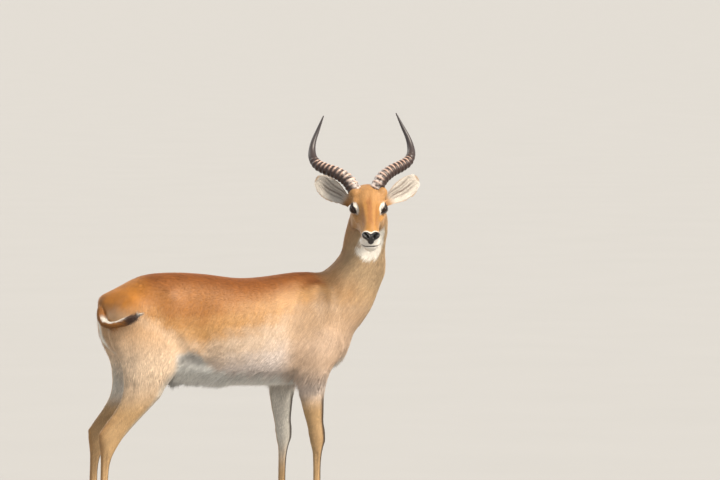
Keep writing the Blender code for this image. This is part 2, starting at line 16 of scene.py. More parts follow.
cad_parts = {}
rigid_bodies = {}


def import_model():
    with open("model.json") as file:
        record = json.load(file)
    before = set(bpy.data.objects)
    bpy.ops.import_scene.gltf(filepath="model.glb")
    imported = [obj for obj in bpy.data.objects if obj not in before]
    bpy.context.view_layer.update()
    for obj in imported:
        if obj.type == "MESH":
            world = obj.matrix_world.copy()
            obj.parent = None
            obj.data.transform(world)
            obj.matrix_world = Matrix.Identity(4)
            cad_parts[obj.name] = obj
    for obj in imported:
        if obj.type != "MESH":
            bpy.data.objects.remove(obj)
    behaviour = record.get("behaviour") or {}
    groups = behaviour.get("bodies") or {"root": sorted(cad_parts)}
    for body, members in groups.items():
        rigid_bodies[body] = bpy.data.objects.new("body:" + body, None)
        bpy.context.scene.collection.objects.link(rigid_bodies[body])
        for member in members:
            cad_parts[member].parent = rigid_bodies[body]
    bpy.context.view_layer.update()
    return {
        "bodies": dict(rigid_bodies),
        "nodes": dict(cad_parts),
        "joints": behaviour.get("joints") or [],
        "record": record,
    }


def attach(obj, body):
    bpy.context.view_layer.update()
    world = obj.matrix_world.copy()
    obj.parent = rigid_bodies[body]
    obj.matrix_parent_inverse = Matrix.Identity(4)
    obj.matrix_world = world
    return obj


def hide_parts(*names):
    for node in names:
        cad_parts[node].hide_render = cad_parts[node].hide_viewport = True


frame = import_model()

# ---------------------------------------------------------------- sizes shared with the solids
SHOULDER_HEIGHT = 0.94
CM = SHOULDER_HEIGHT / 94.0
STANCE_CENTRE = (19.57, -7.5)  # cm, the ground point under the middle of the bounding box

# How the head is carried: turned from straight ahead towards the right side, then nodded.
EYE_MIDPOINT = (58.0, -17.0, 116.8)  # cm
HEAD_TURN = -100.5  # degrees
HEAD_NOD = 28.0  # degrees
LEFT_FORE_SETBACK = 9.0  # cm that the left fore foot stands behind the right one

EYE_CENTRE = (0.6, 5.0, 0.4)  # cm in head space, left eye
EYE_RADIUS = 1.75
HORN_RINGS = 14
HORN_LEAN = 2.0  # degrees that the pair of horns tips towards the right side
HORN_SHIFT = -0.7  # cm that the pair stands off the middle of the head, towards its right


# ---------------------------------------------------------------- shape helpers
def spline(stations, count):
    """Rows of numbers read from a Catmull-Rom curve through the stations, evenly by index."""
    rows = np.asarray(stations, float)
    padded = np.vstack([2 * rows[0] - rows[1], rows, 2 * rows[-1] - rows[-2]])
    at = np.linspace(0, len(rows) - 1, count)
    i = np.minimum(at.astype(int), len(rows) - 2)
    t = (at - i)[:, None]
    a, b, c, d = (padded[i + k] for k in range(4))
    return 0.5 * (2 * b + (c - a) * t + (2 * a - 5 * b + 4 * c - d) * t**2 + (3 * b - a - 3 * c + d) * t**3)


def evenly(stations, count):
    """The same curve, read at equal steps along its first three numbers."""
    fine = spline(stations, 400)
    steps = np.linalg.norm(np.diff(fine[:, :3], axis=0), axis=1)
    run = np.concatenate([[0.0], np.cumsum(steps)])
    at = np.linspace(0, run[-1], count)
    return np.column_stack([np.interp(at, run, fine[:, k]) for k in range(fine.shape[1])])


def mesh_object(name, bm):
    """Makes a named object of a finished bmesh, which it frees."""
    mesh = bpy.data.meshes.new(name)
    bm.to_mesh(mesh)
    bm.free()
    made = bpy.data.objects.new(name, mesh)
    bpy.context.scene.collection.objects.link(made)
    return made


def loft(name, rings):
    """A closed skin over rings, each a list of the same number of points in centimetres."""
    bm = bmesh.new()
    rows = [[bm.verts.new(Vector(point) * CM) for point in ring] for ring in rings]
    sides = len(rows[0])
    for low, high in zip(rows, rows[1:]):
        for k in range(sides):
            bm.faces.new((low[k], low[(k + 1) % sides], high[(k + 1) % sides], high[k]))
    bm.faces.new(rows[0][::-1])
    bm.faces.new(rows[-1])
    bmesh.ops.recalc_face_normals(bm, faces=bm.faces)
    return mesh_object(name, bm)


def around(sides):
    """The cosine and sine at each corner of a ring."""
    return [(math.cos(math.tau * k / sides), math.sin(math.tau * k / sides)) for k in range(sides)]


def squared(value, squareness):
    """Bends a cosine or sine towards a superellipse; squareness 2 leaves it an ellipse."""
    return math.copysign(abs(value) ** (2.0 / squareness), value)


def long_body(name, stations, squareness=2.0, steps=48, sides=32):
    """A mass lofted along X. Station: x, top, bottom, half width, share of height at the widest."""
    rings = []
    for x, top, bottom, wide, belly in spline(stations, steps):
        waist = bottom + belly * (top - bottom)
        ring = []
        for c, s in around(sides):
            c, s = squared(c, squareness), squared(s, squareness)
            ring.append((x, wide * c, waist + s * (top - waist if s > 0 else waist - bottom)))
        rings.append(ring)
    return loft(name, rings)


def level_body(name, stations, steps=40, sides=24):
    """A mass of level sections. Station: x, y, z, long half, side half, heading of its long axis."""
    rings = []
    for x, y, z, long_half, side_half, heading in spline(stations, steps):
        turn = Matrix.Rotation(math.radians(heading), 3, "Z")
        rings.append([Vector((x, y, z)) + turn @ Vector((c * long_half, s * side_half, 0))
                      for c, s in around(sides)])
    return loft(name, rings)


def tube(name, rows, sides, ahead=(0, 0, 1)):
    """A tube along rows of x, y, z, radius; ahead fixes where its rings start."""
    rings = []
    for row, run in zip(rows, np.gradient(rows[:, :3], axis=0)):
        run = Vector(run).normalized()
        up = Vector(ahead)
        up = (up - run * up.dot(run)).normalized()
        across = run.cross(up)
        rings.append([Vector(row[:3]) + (across * c + up * s) * row[3] for c, s in around(sides)])
    return loft(name, rings)


def egg(name, at, radii, turn=(0, 0, 0), segments=20):
    """An egg of muscle or bone: centre and radii in cm, turned by degrees about X, then Y, then Z."""
    bm = bmesh.new()
    bmesh.ops.create_uvsphere(bm, u_segments=segments, v_segments=segments * 2 // 3, radius=1.0)
    spin = Matrix.Identity(4)
    for degrees, axis in zip(turn, "XYZ"):
        spin = Matrix.Rotation(math.radians(degrees), 4, axis) @ spin
    size = Matrix.Diagonal((*[radius * CM for radius in radii], 1))
    bmesh.ops.transform(bm, matrix=Matrix.Translation(Vector(at) * CM) @ spin @ size, verts=bm.verts)
    return mesh_object(name, bm)


# ---------------------------------------------------------------- masses of flesh, as in the solids
def trunk_masses():
    """The barrel of chest and belly, and the large muscles that stand out from it."""
    barrel = long_body("barrel", [
        # x, top, bottom, half width, share of height at the widest
        (-37.2, 84.5, 77.0, 2.2, 0.5),
        (-35.6, 86.6, 70.0, 6.0, 0.5),
        (-30.0, 89.4, 64.0, 11.0, 0.5),
        (-21.0, 93.5, 59.5, 13.6, 0.5),
        (-10.0, 94.4, 56.2, 14.4, 0.48),
        (2.0, 93.6, 54.0, 15.8, 0.45),
        (14.0, 92.0, 53.3, 16.8, 0.42),
        (24.0, 92.5, 53.3, 16.2, 0.42),
        (33.0, 93.7, 53.8, 13.8, 0.42),
        (41.0, 93.9, 55.5, 11.2, 0.44),
        (48.0, 92.0, 58.4, 9.4, 0.48),
        (53.0, 86.0, 62.0, 7.2, 0.5),
        (56.0, 80.0, 68.0, 3.6, 0.5),
    ], squareness=2.15)
    made = [barrel]
    for side in (-1, 1):
        made += [
            egg("shoulder blade", (38.5, side * 8.6, 79.0), (8.5, 4.2, 13.0), (side * 8, 24, 0)),
            egg("upper arm", (43.5, side * 8.6, 67.5), (8.0, 4.6, 8.5), (0, -30, 0)),
            egg("hip", (-13.0, side * 8.4, 84.5), (6.0, 4.6, 5.4), (0, -20, 0)),
            egg("haunch", (-24.5, side * 8.0, 77.0), (10.5, 6.6, 10.5), (0, 12, 0)),
        ]
    made.append(egg("sheath", (-9.5, 0, 57.5), (6.0, 2.6, 3.0), (0, -6, 0)))
    return made


def neck_mass():
    """The neck, whose sections turn with the head as they rise."""
    return level_body("neck", [
        # x, y, z, long half, side half, heading of the long axis
        (41.5, 0.0, 66.0, 11.0, 7.6, 0),
        (46.6, 0.0, 73.0, 12.0, 8.2, 0),
        (50.4, 0.0, 80.0, 13.0, 8.4, 0),
        (52.8, -0.3, 87.0, 13.4, 8.0, -2),
        (55.8, -0.8, 92.5, 12.2, 7.4, -5),
        (58.4, -1.4, 96.5, 9.8, 6.9, -8),
        (59.7, -2.0, 100.5, 8.1, 6.6, -14),
        (60.1, -2.8, 104.5, 7.7, 6.5, -24),
        (60.5, -4.6, 109.0, 7.8, 6.5, -48),
        (60.6, -6.6, 114.0, 7.6, 6.3, -80),
        (60.2, -8.4, 118.5, 5.6, 5.2, -95),
    ])


# ---------------------------------------------------------------- legs
FORE_LEG = [
    # z, front x, back x, distance from midline, half width
    (80.0, 44.0, 34.0, 6.5, 3.6),
    (72.0, 50.0, 32.0, 8.0, 4.6),
    (64.0, 49.5, 31.5, 8.8, 5.2),
    (58.0, 46.2, 32.4, 9.1, 4.9),
    (53.5, 44.3, 33.6, 9.0, 4.1),
    (49.0, 43.8, 34.4, 8.8, 3.5),
    (44.0, 43.7, 35.6, 8.7, 3.1),
    (40.0, 43.6, 36.8, 8.6, 2.7),
    (36.5, 43.9, 37.7, 8.6, 2.7),
    (33.0, 43.9, 38.3, 8.6, 2.6),
    (29.5, 43.0, 39.2, 8.6, 2.05),
    (25.0, 42.5, 39.4, 8.6, 1.6),
    (18.0, 42.4, 39.4, 8.6, 1.5),
    (13.0, 42.6, 39.2, 8.6, 1.75),
    (10.2, 43.3, 38.9, 8.6, 2.2),
    (7.4, 44.0, 40.1, 8.6, 1.95),
    (5.0, 45.2, 40.6, 8.6, 2.25),
    (2.5, 46.2, 41.2, 8.6, 2.3),
]
HIND_LEG = [
    (86.0, -15.0, -31.0, 5.0, 4.0),
    (80.0, -10.0, -35.4, 7.0, 6.0),
    (74.0, -6.6, -35.6, 8.0, 6.8),
    (69.0, -5.6, -34.2, 8.6, 6.8),
    (64.5, -6.8, -32.4, 8.8, 6.4),
    (60.0, -9.4, -30.9, 8.9, 5.7),
    (55.5, -12.0, -30.1, 8.8, 5.0),
    (51.5, -15.0, -30.5, 8.6, 4.3),
    (48.0, -18.0, -31.8, 8.4, 3.7),
    (44.0, -21.8, -34.3, 8.2, 3.2),
    (40.5, -25.2, -36.9, 8.0, 2.8),
    (37.5, -28.0, -38.7, 7.9, 2.7),
    (35.0, -30.2, -38.9, 7.8, 2.65),
    (32.0, -32.2, -38.5, 7.8, 2.5),
    (29.0, -33.8, -38.2, 7.8, 2.1),
    (25.0, -34.9, -38.2, 7.8, 1.75),
    (19.0, -35.3, -38.4, 7.8, 1.6),
    (13.0, -35.3, -38.7, 7.8, 1.75),
    (10.2, -34.6, -39.0, 7.8, 2.2),
    (7.4, -33.6, -37.5, 7.8, 1.95),
    (5.0, -32.2, -36.8, 7.8, 2.2),
    (2.5, -31.0, -36.0, 7.8, 2.3),
]
LEGS = {
    # name: stations, side of the body, setback of its foot in cm, x of the hoof's heel
    "fore_L": (FORE_LEG, 1, LEFT_FORE_SETBACK, 40.2),
    "fore_R": (FORE_LEG, -1, 0.0, 40.2),
    "hind_L": (HIND_LEG, 1, 0.8, -37.2),
    "hind_R": (HIND_LEG, -1, 0.0, -37.2),
}
HIP_HEIGHT = 82.0  # cm, where a leg that stands further back starts to slope


def leg_mass(stations, side, setback, steps=70, sides=20):
    """A limb of level sections, a little narrower behind than in front."""
    rings = []
    for z, front, back, out, wide in spline(stations, steps):
        middle = (front + back) / 2 + setback_at(z, setback)
        rings.append([(middle + s * (front - back) / 2, side * out + c * wide * (1 + 0.12 * s), z)
                      for c, s in around(sides)])
    return loft("leg", rings)


# ---------------------------------------------------------------- head
def level_frame():
    """Turned with the head but not nodded: origin between the eyes, +X ahead, +Y to its left."""
    turn = Matrix.Rotation(math.radians(HEAD_TURN), 4, "Z")
    return Matrix.Translation(Vector(EYE_MIDPOINT) * CM) @ turn


def head_frame():
    """Head space: as the level frame, but nodded, so that +X runs along the muzzle."""
    return level_frame() @ Matrix.Rotation(math.radians(HEAD_NOD), 4, "Y")


def placed(pieces, frame):
    """Carries pieces from a frame of the head to the animal's own."""
    for piece in pieces:
        piece.data.transform(frame)
    return pieces


def head_masses():
    """The skull and lower jaw, and the lumps of bone and muscle on them."""
    skull = long_body("skull", [
        # x, top, bottom, half width, share of height at the widest
        (-11.5, 2.5, -4.0, 3.2, 0.55),
        (-10.0, 4.4, -7.0, 5.0, 0.55),
        (-7.0, 5.9, -9.6, 5.8, 0.6),
        (-3.5, 6.0, -10.8, 5.7, 0.64),
        (0.0, 5.0, -10.8, 5.1, 0.66),
        (3.0, 3.9, -10.2, 4.3, 0.62),
        (6.0, 2.9, -9.6, 3.6, 0.56),
        (9.0, 2.0, -9.1, 3.35, 0.5),
        (12.0, 1.1, -8.9, 3.3, 0.48),
        (14.3, 0.1, -8.9, 3.4, 0.48),
        (16.0, -1.2, -8.0, 2.9, 0.5),
        (17.0, -2.8, -6.6, 1.8, 0.5),
    ], squareness=2.25)
    made = [skull]
    for side in (-1, 1):
        made += [
            egg("brow", (-0.9, side * 4.5, 2.0), (3.0, 1.7, 1.8), (0, 18, side * 8)),
            egg("cheekbone", (0.6, side * 4.0, -2.6), (4.2, 1.9, 1.5), (0, 12, side * -8)),
            egg("cheek", (-4.0, side * 4.0, -5.8), (5.0, 2.1, 4.4), (0, -12, 0)),
            egg("nostril wing", (14.9, side * 1.9, -2.0), (2.3, 1.6, 1.7)),
            egg("lip", (13.4, side * 1.8, -5.4), (3.3, 1.9, 1.8)),
            egg("horn root", (-4.8, side * 4.8, 3.7), (2.8, 2.3, 2.3)),
            egg("ear root", (-6.9, side * 5.3, 1.6), (2.3, 1.9, 2.3)),
        ]
    made.append(egg("chin", (13.0, 0, -8.2), (2.6, 2.2, 1.5)))
    return placed(made, head_frame())


# Horn and ear stations are in the level frame: back, out and up from between the eyes.
HORN_PATH = [
    # back, out, up, radius
    (3.3, 3.1, 5.2, 1.8),
    (3.5, 3.8, 6.6, 2.4),
    (4.0, 4.7, 8.1, 2.45),
    (5.5, 6.4, 10.5, 2.35),
    (8.2, 9.7, 12.8, 2.2),
    (11.0, 13.2, 14.2, 2.08),
    (13.8, 16.2, 15.8, 1.88),
    (16.5, 17.7, 18.2, 1.58),
    (18.8, 17.8, 21.0, 1.25),
    (20.2, 17.0, 24.3, 0.93),
    (21.1, 15.3, 28.2, 0.64),
    (21.0, 13.1, 33.2, 0.2),
]
EAR_BASE = (6.4, 6.0, 1.4)  # back, out, up
EAR_TIP = (8.6, 18.0, 10.9)
EAR_SECTIONS = [
    # share of length, half width, depth of the cup, shift towards the lower edge
    (0.0, 1.7, 1.6, 0.0),
    (0.16, 2.3, 2.1, 0.1),
    (0.34, 3.3, 2.2, 0.3),
    (0.54, 4.2, 1.9, 0.5),
    (0.76, 3.9, 1.4, 0.5),
    (0.92, 2.7, 0.8, 0.35),
    (1.0, 1.0, 0.3, 0.1),
]
EAR_ROWS = spline(EAR_SECTIONS, 34)
EAR_WALL = 0.42
EAR_FOLDS = 0.10  # height of the folds that run along the inside of the cup


def ear_axes(side):
    """Base, tip, the direction that the cup opens to, and the direction of its lower edge."""
    base = np.array([-EAR_BASE[0], side * EAR_BASE[1], EAR_BASE[2]])
    tip = np.array([-EAR_TIP[0], side * EAR_TIP[1], EAR_TIP[2]])
    axis = (tip - base) / np.linalg.norm(tip - base)
    open_to = np.array([1.0, side * 0.25, -0.1])
    open_to -= axis * (open_to @ axis)
    open_to /= np.linalg.norm(open_to)
    return base, tip, open_to, np.cross(axis, open_to) * side


def ear(name, side):
    """A cupped leaf, open to the front; each section runs round the back and returns inside."""
    base, tip, open_to, lower = ear_axes(side)
    rings = []
    for share, wide, cup, shift in EAR_ROWS:
        centre = base + (tip - base) * share
        wall = min(EAR_WALL, wide)
        ring = []
        for y in np.linspace(-1, 1, 15):
            ring.append(centre + lower * (shift + wide * y) - open_to * cup * (1 - y * y))
        for y in np.linspace(1, -1, 15)[1:-1]:
            fold = EAR_FOLDS * math.cos(2.5 * math.tau * y) * (1 - y * y)
            y *= 1 - wall / wide / 4
            deep = (cup - wall) * (1 - y * y) - wall * (0.5 + 0.5 * y ** 4) - fold
            ring.append(centre + lower * (shift + wide * y) - open_to * deep)
        rings.append(ring)
    return placed([loft(name, rings)], level_frame())[0]


TAIL_PATH = [
    # x, y, z, radius
    (-32.0, 0.0, 83.5, 2.1),
    (-35.2, -1.2, 82.6, 2.1),
    (-37.0, -4.4, 79.2, 1.8),
    (-36.8, -8.8, 76.8, 1.5),
    (-34.8, -12.4, 76.3, 1.4),
    (-31.6, -15.0, 77.2, 1.45),
    (-28.8, -16.4, 78.4, 1.3),
    (-26.2, -17.2, 79.6, 0.5),
]


def tail():
    """The tail, curled round to the animal's right."""
    return tube("tail", evenly(TAIL_PATH, 60), 24)


# ---------------------------------------------------------------- points of a mesh, in numpy
def settled(obj):
    """Replaces an object's mesh with what its modifiers make of it."""
    bpy.context.view_layer.update()
    evaluated = obj.evaluated_get(bpy.context.evaluated_depsgraph_get())
    mesh = bpy.data.meshes.new_from_object(evaluated)
    obj.modifiers.clear()
    obj.data = mesh
    return obj


def joined(name, pieces):
    """Makes one object of several, which it removes."""
    bm = bmesh.new()
    for piece in pieces:
        bm.from_mesh(piece.data)
        bpy.data.objects.remove(piece)
    return mesh_object(name, bm)


def fused(obj, voxel, rounds):
    """Joins overlapping masses into one closed skin, then smooths it."""
    union = obj.modifiers.new("union", "REMESH")
    union.mode = "VOXEL"
    union.voxel_size = voxel * CM
    blend = obj.modifiers.new("blend", "SMOOTH")
    blend.factor = 0.5
    blend.iterations = rounds
    return settled(obj)


def whole(obj):
    """Keeps only the largest of a mesh's separate parts, so that no crumb of a thin edge is left."""
    bm = bmesh.new()
    bm.from_mesh(obj.data)
    seen = np.zeros(len(bm.verts), bool)
    parts = []
    for k, start in enumerate(bm.verts):
        if seen[k]:
            continue
        seen[k] = True
        part = [start]
        for vert in part:
            others = [edge.other_vert(vert) for edge in vert.link_edges]
            fresh = [other for other in others if not seen[other.index]]
            seen[[other.index for other in fresh]] = True
            part += fresh
        parts.append(part)
    parts.sort(key=len)
    bmesh.ops.delete(bm, geom=[vert for part in parts[:-1] for vert in part], context="VERTS")
    bm.to_mesh(obj.data)
    bm.free()
    return obj


def vectors(items, field):
    """What each vertex, normal or attribute value of a mesh holds, one row each."""
    flat = np.empty(len(items) * 3, np.float32)
    items.foreach_get(field, flat)
    return flat.reshape(-1, 3).astype(float)


def places(obj):
    """Every vertex of an object, in centimetres."""
    return vectors(obj.data.vertices, "co") / CM


def put(obj, points):
    """Moves every vertex of an object to its point, in centimetres."""
    obj.data.vertices.foreach_set("co", (points * CM).ravel())
    obj.data.update()


def outward(obj):
    """Every vertex's normal."""
    return vectors(obj.data.vertex_normals, "vector")


def keep(obj, name, values, kind="FLOAT"):
    """Stores one value a vertex in an attribute."""
    layer = obj.data.attributes.get(name) or obj.data.attributes.new(name, kind, "POINT")
    field = {"FLOAT": "value", "FLOAT_VECTOR": "vector", "FLOAT_COLOR": "color"}[kind]
    layer.data.foreach_set(field, np.ascontiguousarray(values, np.float32).ravel())


def keep_colour(obj, name, colour):
    """Stores one linear colour a vertex."""
    opaque = np.ones((len(colour), 4))
    opaque[:, :3] = colour
    keep(obj, name, opaque, "FLOAT_COLOR")


def seen_from(points, matrix):
    """Points in cm as they lie in another frame, also in cm."""
    turn = np.array(matrix)
    return (points - turn[:3, 3] / CM) @ turn[:3, :3]


def brought_from(points, matrix):
    """Points in cm in a frame as they lie over the whole animal, also in cm."""
    turn = np.array(matrix)
    return np.asarray(points, float) @ turn[:3, :3].T + turn[:3, 3] / CM


def directed(vector, matrix):
    """A direction of another frame, in the animal's frame."""
    return np.array(matrix)[:3, :3] @ np.asarray(vector, float)


def ramp(value, low, high):
    """0 at low, 1 at high, and smooth between."""
    t = np.clip((value - low) / (high - low), 0, 1)
    return t * t * (3 - 2 * t)


def along_path(points, path):
    """Distance to a polyline, the share of its length at the nearest point, and its heading there."""
    path = np.asarray(path, float)[:, :3]
    steps = np.diff(path, axis=0)
    lengths = np.linalg.norm(steps, axis=1)
    run = np.concatenate([[0.0], np.cumsum(lengths)]) / lengths.sum()
    best = np.full(len(points), np.inf)
    share = np.zeros(len(points))
    heading = np.zeros((len(points), 3))
    for k, (start, step) in enumerate(zip(path, steps)):
        t = np.clip(((points - start) @ step) / (step @ step), 0, 1)
        away = np.linalg.norm(points - start - t[:, None] * step, axis=1)
        closer = away < best
        best[closer] = away[closer]
        share[closer] = (run[k] + t * (run[k + 1] - run[k]))[closer]
        heading[closer] = step / lengths[k]
    return best, share, heading


def raised(points, features, side=1):
    """How far points stand out from features: each a width, a height and a path, in cm."""
    total = np.zeros(len(points))
    for width, height, *path in features:
        path = [(x, side * y, z) for x, y, z in path]
        if len(path) == 1:
            away = np.linalg.norm(points - path[0], axis=1)
        else:
            away = along_path(points, path)[0]
        total += height * np.exp(-(away / width) ** 2)
    return total


# ---------------------------------------------------------------- carving
BODY_FORMS = [
    # width, height, path on the left side, mirrored to the right
    (2.6, 0.26, (44.0, 8.0, 88.0), (41.0, 11.5, 79.0), (43.5, 12.0, 71.0)),  # spine of the shoulder blade
    (4.2, -0.30, (31.0, 13.0, 88.0), (31.0, 16.0, 77.0), (31.5, 15.5, 67.0)),  # behind the shoulder
    (5.0, 0.40, (37.5, 14.0, 66.0)),  # triceps
    (2.4, 0.45, (33.6, 12.5, 57.5)),  # elbow
    (1.8, -0.45, (31.2, 14.0, 63.0), (30.2, 12.5, 56.0)),  # fold behind the elbow
    (3.4, -0.20, (48.5, 10.0, 76.0), (49.0, 10.0, 66.0)),  # between shoulder and neck
    (7.0, -0.50, (-5.0, 13.0, 82.5)),  # hollow of the flank
    (4.5, 0.22, (-14.5, 9.5, 88.0)),  # hip bone
    (2.3, 0.45, (-9.5, 14.0, 73.0), (-5.0, 14.0, 66.5), (0.5, 13.0, 60.0)),  # fold of the flank
    (2.6, -0.36, (-1.0, 15.0, 72.0), (0.0, 14.5, 64.0)),  # in front of that fold
    (2.4, -0.30, (-27.0, 13.0, 83.0), (-29.5, 13.5, 71.0), (-28.0, 12.0, 61.0)),  # between thigh muscles
    (3.2, 0.35, (-8.8, 13.5, 66.0)),  # stifle
    (2.6, -1.00, (-5.0, 13.0, 63.0), (0.5, 13.0, 60.5)),  # pocket under the fold of the flank
    (1.2, -0.42, (-27.0, 12.0, 54.5), (-33.0, 10.5, 44.5)),  # before the hamstring, outer
    (1.2, -0.42, (-27.0, 5.5, 54.5), (-33.0, 6.5, 44.5)),  # before the hamstring, inner
    (1.8, -0.26, (54.0, 5.0, 97.0), (53.5, 7.5, 88.0), (50.0, 8.5, 78.0)),  # groove of the neck
]
RIBS = [(1.1, 0.09, (7.5 + 3.5 * k, 15.0, 81.0), (6.0 + 3.5 * k, 17.0, 71.0), (4.5 + 3.5 * k, 15.5, 62.0))
        for k in range(7)]
LEG_FORMS_TOP = 45.0  # height in cm below which the forms of a leg are carved
FORE_FORMS = [
    # width, height, path on the left leg, before its setback
    (1.2, 0.20, (43.9, 8.7, 37.5), (44.0, 8.7, 33.5)),  # knee
    (0.8, 0.20, (38.0, 8.7, 36.0)),  # bone behind the knee
    (0.7, -0.28, (40.4, 10.4, 29.0), (40.2, 10.4, 15.0)),  # before the tendons, outer
    (0.7, -0.28, (40.4, 6.8, 29.0), (40.2, 6.8, 15.0)),  # before the tendons, inner
    (0.8, 0.20, (41.0, 10.8, 10.6)),  # fetlock, outer
    (0.8, 0.20, (41.0, 6.4, 10.6)),  # fetlock, inner
    (0.6, -0.20, (43.6, 8.6, 8.0), (45.0, 8.6, 4.5)),  # between the toes
]
HIND_FORMS = [
    (0.9, 0.25, (-38.8, 7.9, 37.6)),  # point of the hock
    (1.0, 0.18, (-33.5, 10.6, 34.0)),  # hock, outer
    (1.0, 0.18, (-33.5, 5.2, 34.0)),  # hock, inner
    (0.7, -0.28, (-36.6, 9.7, 30.0), (-37.0, 9.6, 15.0)),  # before the tendons, outer
    (0.7, -0.28, (-36.6, 5.9, 30.0), (-37.0, 6.0, 15.0)),  # before the tendons, inner
    (0.8, 0.20, (-36.6, 10.1, 10.6)),  # fetlock, outer
    (0.8, 0.20, (-36.6, 5.6, 10.6)),  # fetlock, inner
    (0.6, -0.20, (-33.6, 7.8, 8.0), (-32.0, 7.8, 4.5)),  # between the toes
]
MOUTH = [
    # the line between the lips on the left, from its middle to its corner, in head space
    (17.2, 0.0, -5.5), (16.6, 1.4, -5.65), (15.2, 2.6, -5.9), (13.0, 3.3, -6.2), (10.6, 3.4, -6.4),
    (8.8, 3.3, -6.2),
]
HEAD_FORMS = [
    # width, height, path on the left of the head, in head space
    (0.7, 0.16, (3.0, 4.6, -2.4), (6.5, 3.8, -2.9), (9.5, 3.3, -3.2)),  # crest of the cheek
    (0.9, -0.24, (3.2, 4.6, -0.5), (7.0, 3.5, -0.8), (10.0, 3.1, -0.9)),  # below the nose's bridge
    (0.8, 0.14, (2.5, 2.6, 3.6), (7.0, 1.9, 2.2), (11.0, 1.5, 1.2)),  # edge of the bridge
    (1.6, -0.35, (-3.5, 6.0, 1.4)),  # temple
    (0.8, -0.22, (-2.0, 0.0, 6.0), (1.5, 0.0, 5.0)),  # between the brows
    (1.0, 0.22, (-7.0, 5.5, -8.6), (-2.0, 4.9, -9.8), (4.0, 4.0, -9.8)),  # edge of the jaw
    (1.0, -0.25, (1.6, 4.8, -5.2), (1.0, 4.6, -8.2)),  # before the chewing muscle
    (0.9, 0.16, (15.0, 2.6, -4.6), (12.0, 3.2, -5.3)),  # upper lip
]
# How deep the coat is, and so how far the skin lies below the solids, in cm.
BODY_DEPTH = 0.40
BELLY_EXTRA = 0.75
FINE_DEPTH = 0.15  # on the head and the lower legs
CORONET_SAVING = 0.10
EAR_DEPTH = 0.03
LIP_SWELL = 0.13
MOUTH_DEPTH = 0.45
PAD_MASSES = [
    # the nose pad's centre, radii and degrees of turn about X, in cm and head space
    ((16.0, -1.45, -1.7), (1.5, 1.9, 1.35), -32),
    ((16.0, 1.45, -1.7), (1.5, 1.9, 1.35), 32),
    ((16.2, 0, -2.3), (1.35, 2.1, 1.5), 0),
    ((16.4, 0, -3.5), (1.15, 1.2, 1.35), 0),
]


def to_pad(head):
    """How far each point is from the masses of the nose pad, where 1 is on their surface."""
    nearest = np.full(len(head), np.inf)
    for at, radii, turn in PAD_MASSES:
        c, s = math.cos(math.radians(turn)), math.sin(math.radians(turn))
        local = (head - at) @ np.array([(1, 0, 0), (0, c, -s), (0, s, c)])
        nearest = np.minimum(nearest, np.linalg.norm(local / radii, axis=1))
    return nearest


def over_mouth(head):
    """How high each point of the head lies over the line of the mouth, in cm."""
    xs, _, zs = np.array(MOUTH[::-1]).T
    return head[:, 2] - np.interp(head[:, 0], xs, zs)


def carved(points):
    """The finer forms that the stations leave out, and the room for the coat."""
    head = seen_from(points, head_frame())
    on_head = ramp(np.linalg.norm(head - (3.0, 0, -2.0), axis=1), 20.0, 15.0)
    out = np.zeros(len(points))
    for side in (-1, 1):
        half = ramp(side * points[:, 1], -1.5, 1.5)
        out += half * (1 - on_head) * raised(points, BODY_FORMS + RIBS, side)
        out += ramp(side * head[:, 1], -0.2, 0.2) * on_head * raised(head, HEAD_FORMS, side)
    over = over_mouth(head)
    swell = LIP_SWELL * np.exp(-((np.abs(over) - 0.62) / 0.45) ** 2)
    lips = swell - MOUTH_DEPTH * np.exp(-(over / 0.20) ** 2)
    out += lips * on_head * ramp(head[:, 0], 7.5, 10.0)
    for name, (_, side, setback, _) in LEGS.items():
        straight = points.copy()
        straight[:, 0] -= setback_at(points[:, 2], setback)
        forms = FORE_FORMS if name.startswith("fore") else HIND_FORMS
        below = points[:, 2] < LEG_FORMS_TOP
        out[below] += raised(straight[below], forms, side)
    return out - coat_depth(points, head)


def coat_depth(points, head):
    """How deep the coat is over each point: least on the ears, then head and feet, most on the belly."""
    x, _, z = points.T
    near_head = ramp(np.linalg.norm(head - (2.0, 0, -2.0), axis=1), 26.0, 16.0)
    low = ramp(z, 46.0, 30.0)
    depth = BODY_DEPTH + (FINE_DEPTH - BODY_DEPTH) * np.maximum(near_head, low)
    under = ramp(z, 60.0, 55.5) * ramp(np.abs(x - 12.0), 32.0, 24.0) * ramp(z, 50.0, 53.0)
    feet = ramp(z, 9.0, 5.0)
    level = seen_from(points, level_frame())
    ears = ramp(np.abs(level[:, 1]), 6.5, 8.0) * ramp(level[:, 2], 0.0, 2.0)
    depth += BELLY_EXTRA * under - CORONET_SAVING * feet
    return depth + ears * (EAR_DEPTH - depth)


def setback_at(z, setback):
    """How far back a leg runs at a height, when its foot stands back by setback."""
    return -setback * (1 - np.clip(np.asarray(z) / HIP_HEIGHT, 0, 1) ** 3)


# ---------------------------------------------------------------- eyes and lids
LID_HALF_WIDTH = 1.52  # of the opening between the lids, in cm, across the line of sight
LID_RISE = 1.10
LID_FALL = 0.90
ALMOND = 1.35  # over 1, it draws the corners of the opening out
LID_TILT = 24.0  # degrees that the inner corner of the eye hangs
LID_THICKNESS = 0.14
LID_REACH = 3.2  # cm from an eye's middle, beyond which the skin isn't drawn over the ball
BALL_CLEARANCE = 0.22  # that the skin keeps behind the ball between the lids
EYE_SIGHT = (0.71, 0.67, 0.20)  # the left eye's line of sight, in head space


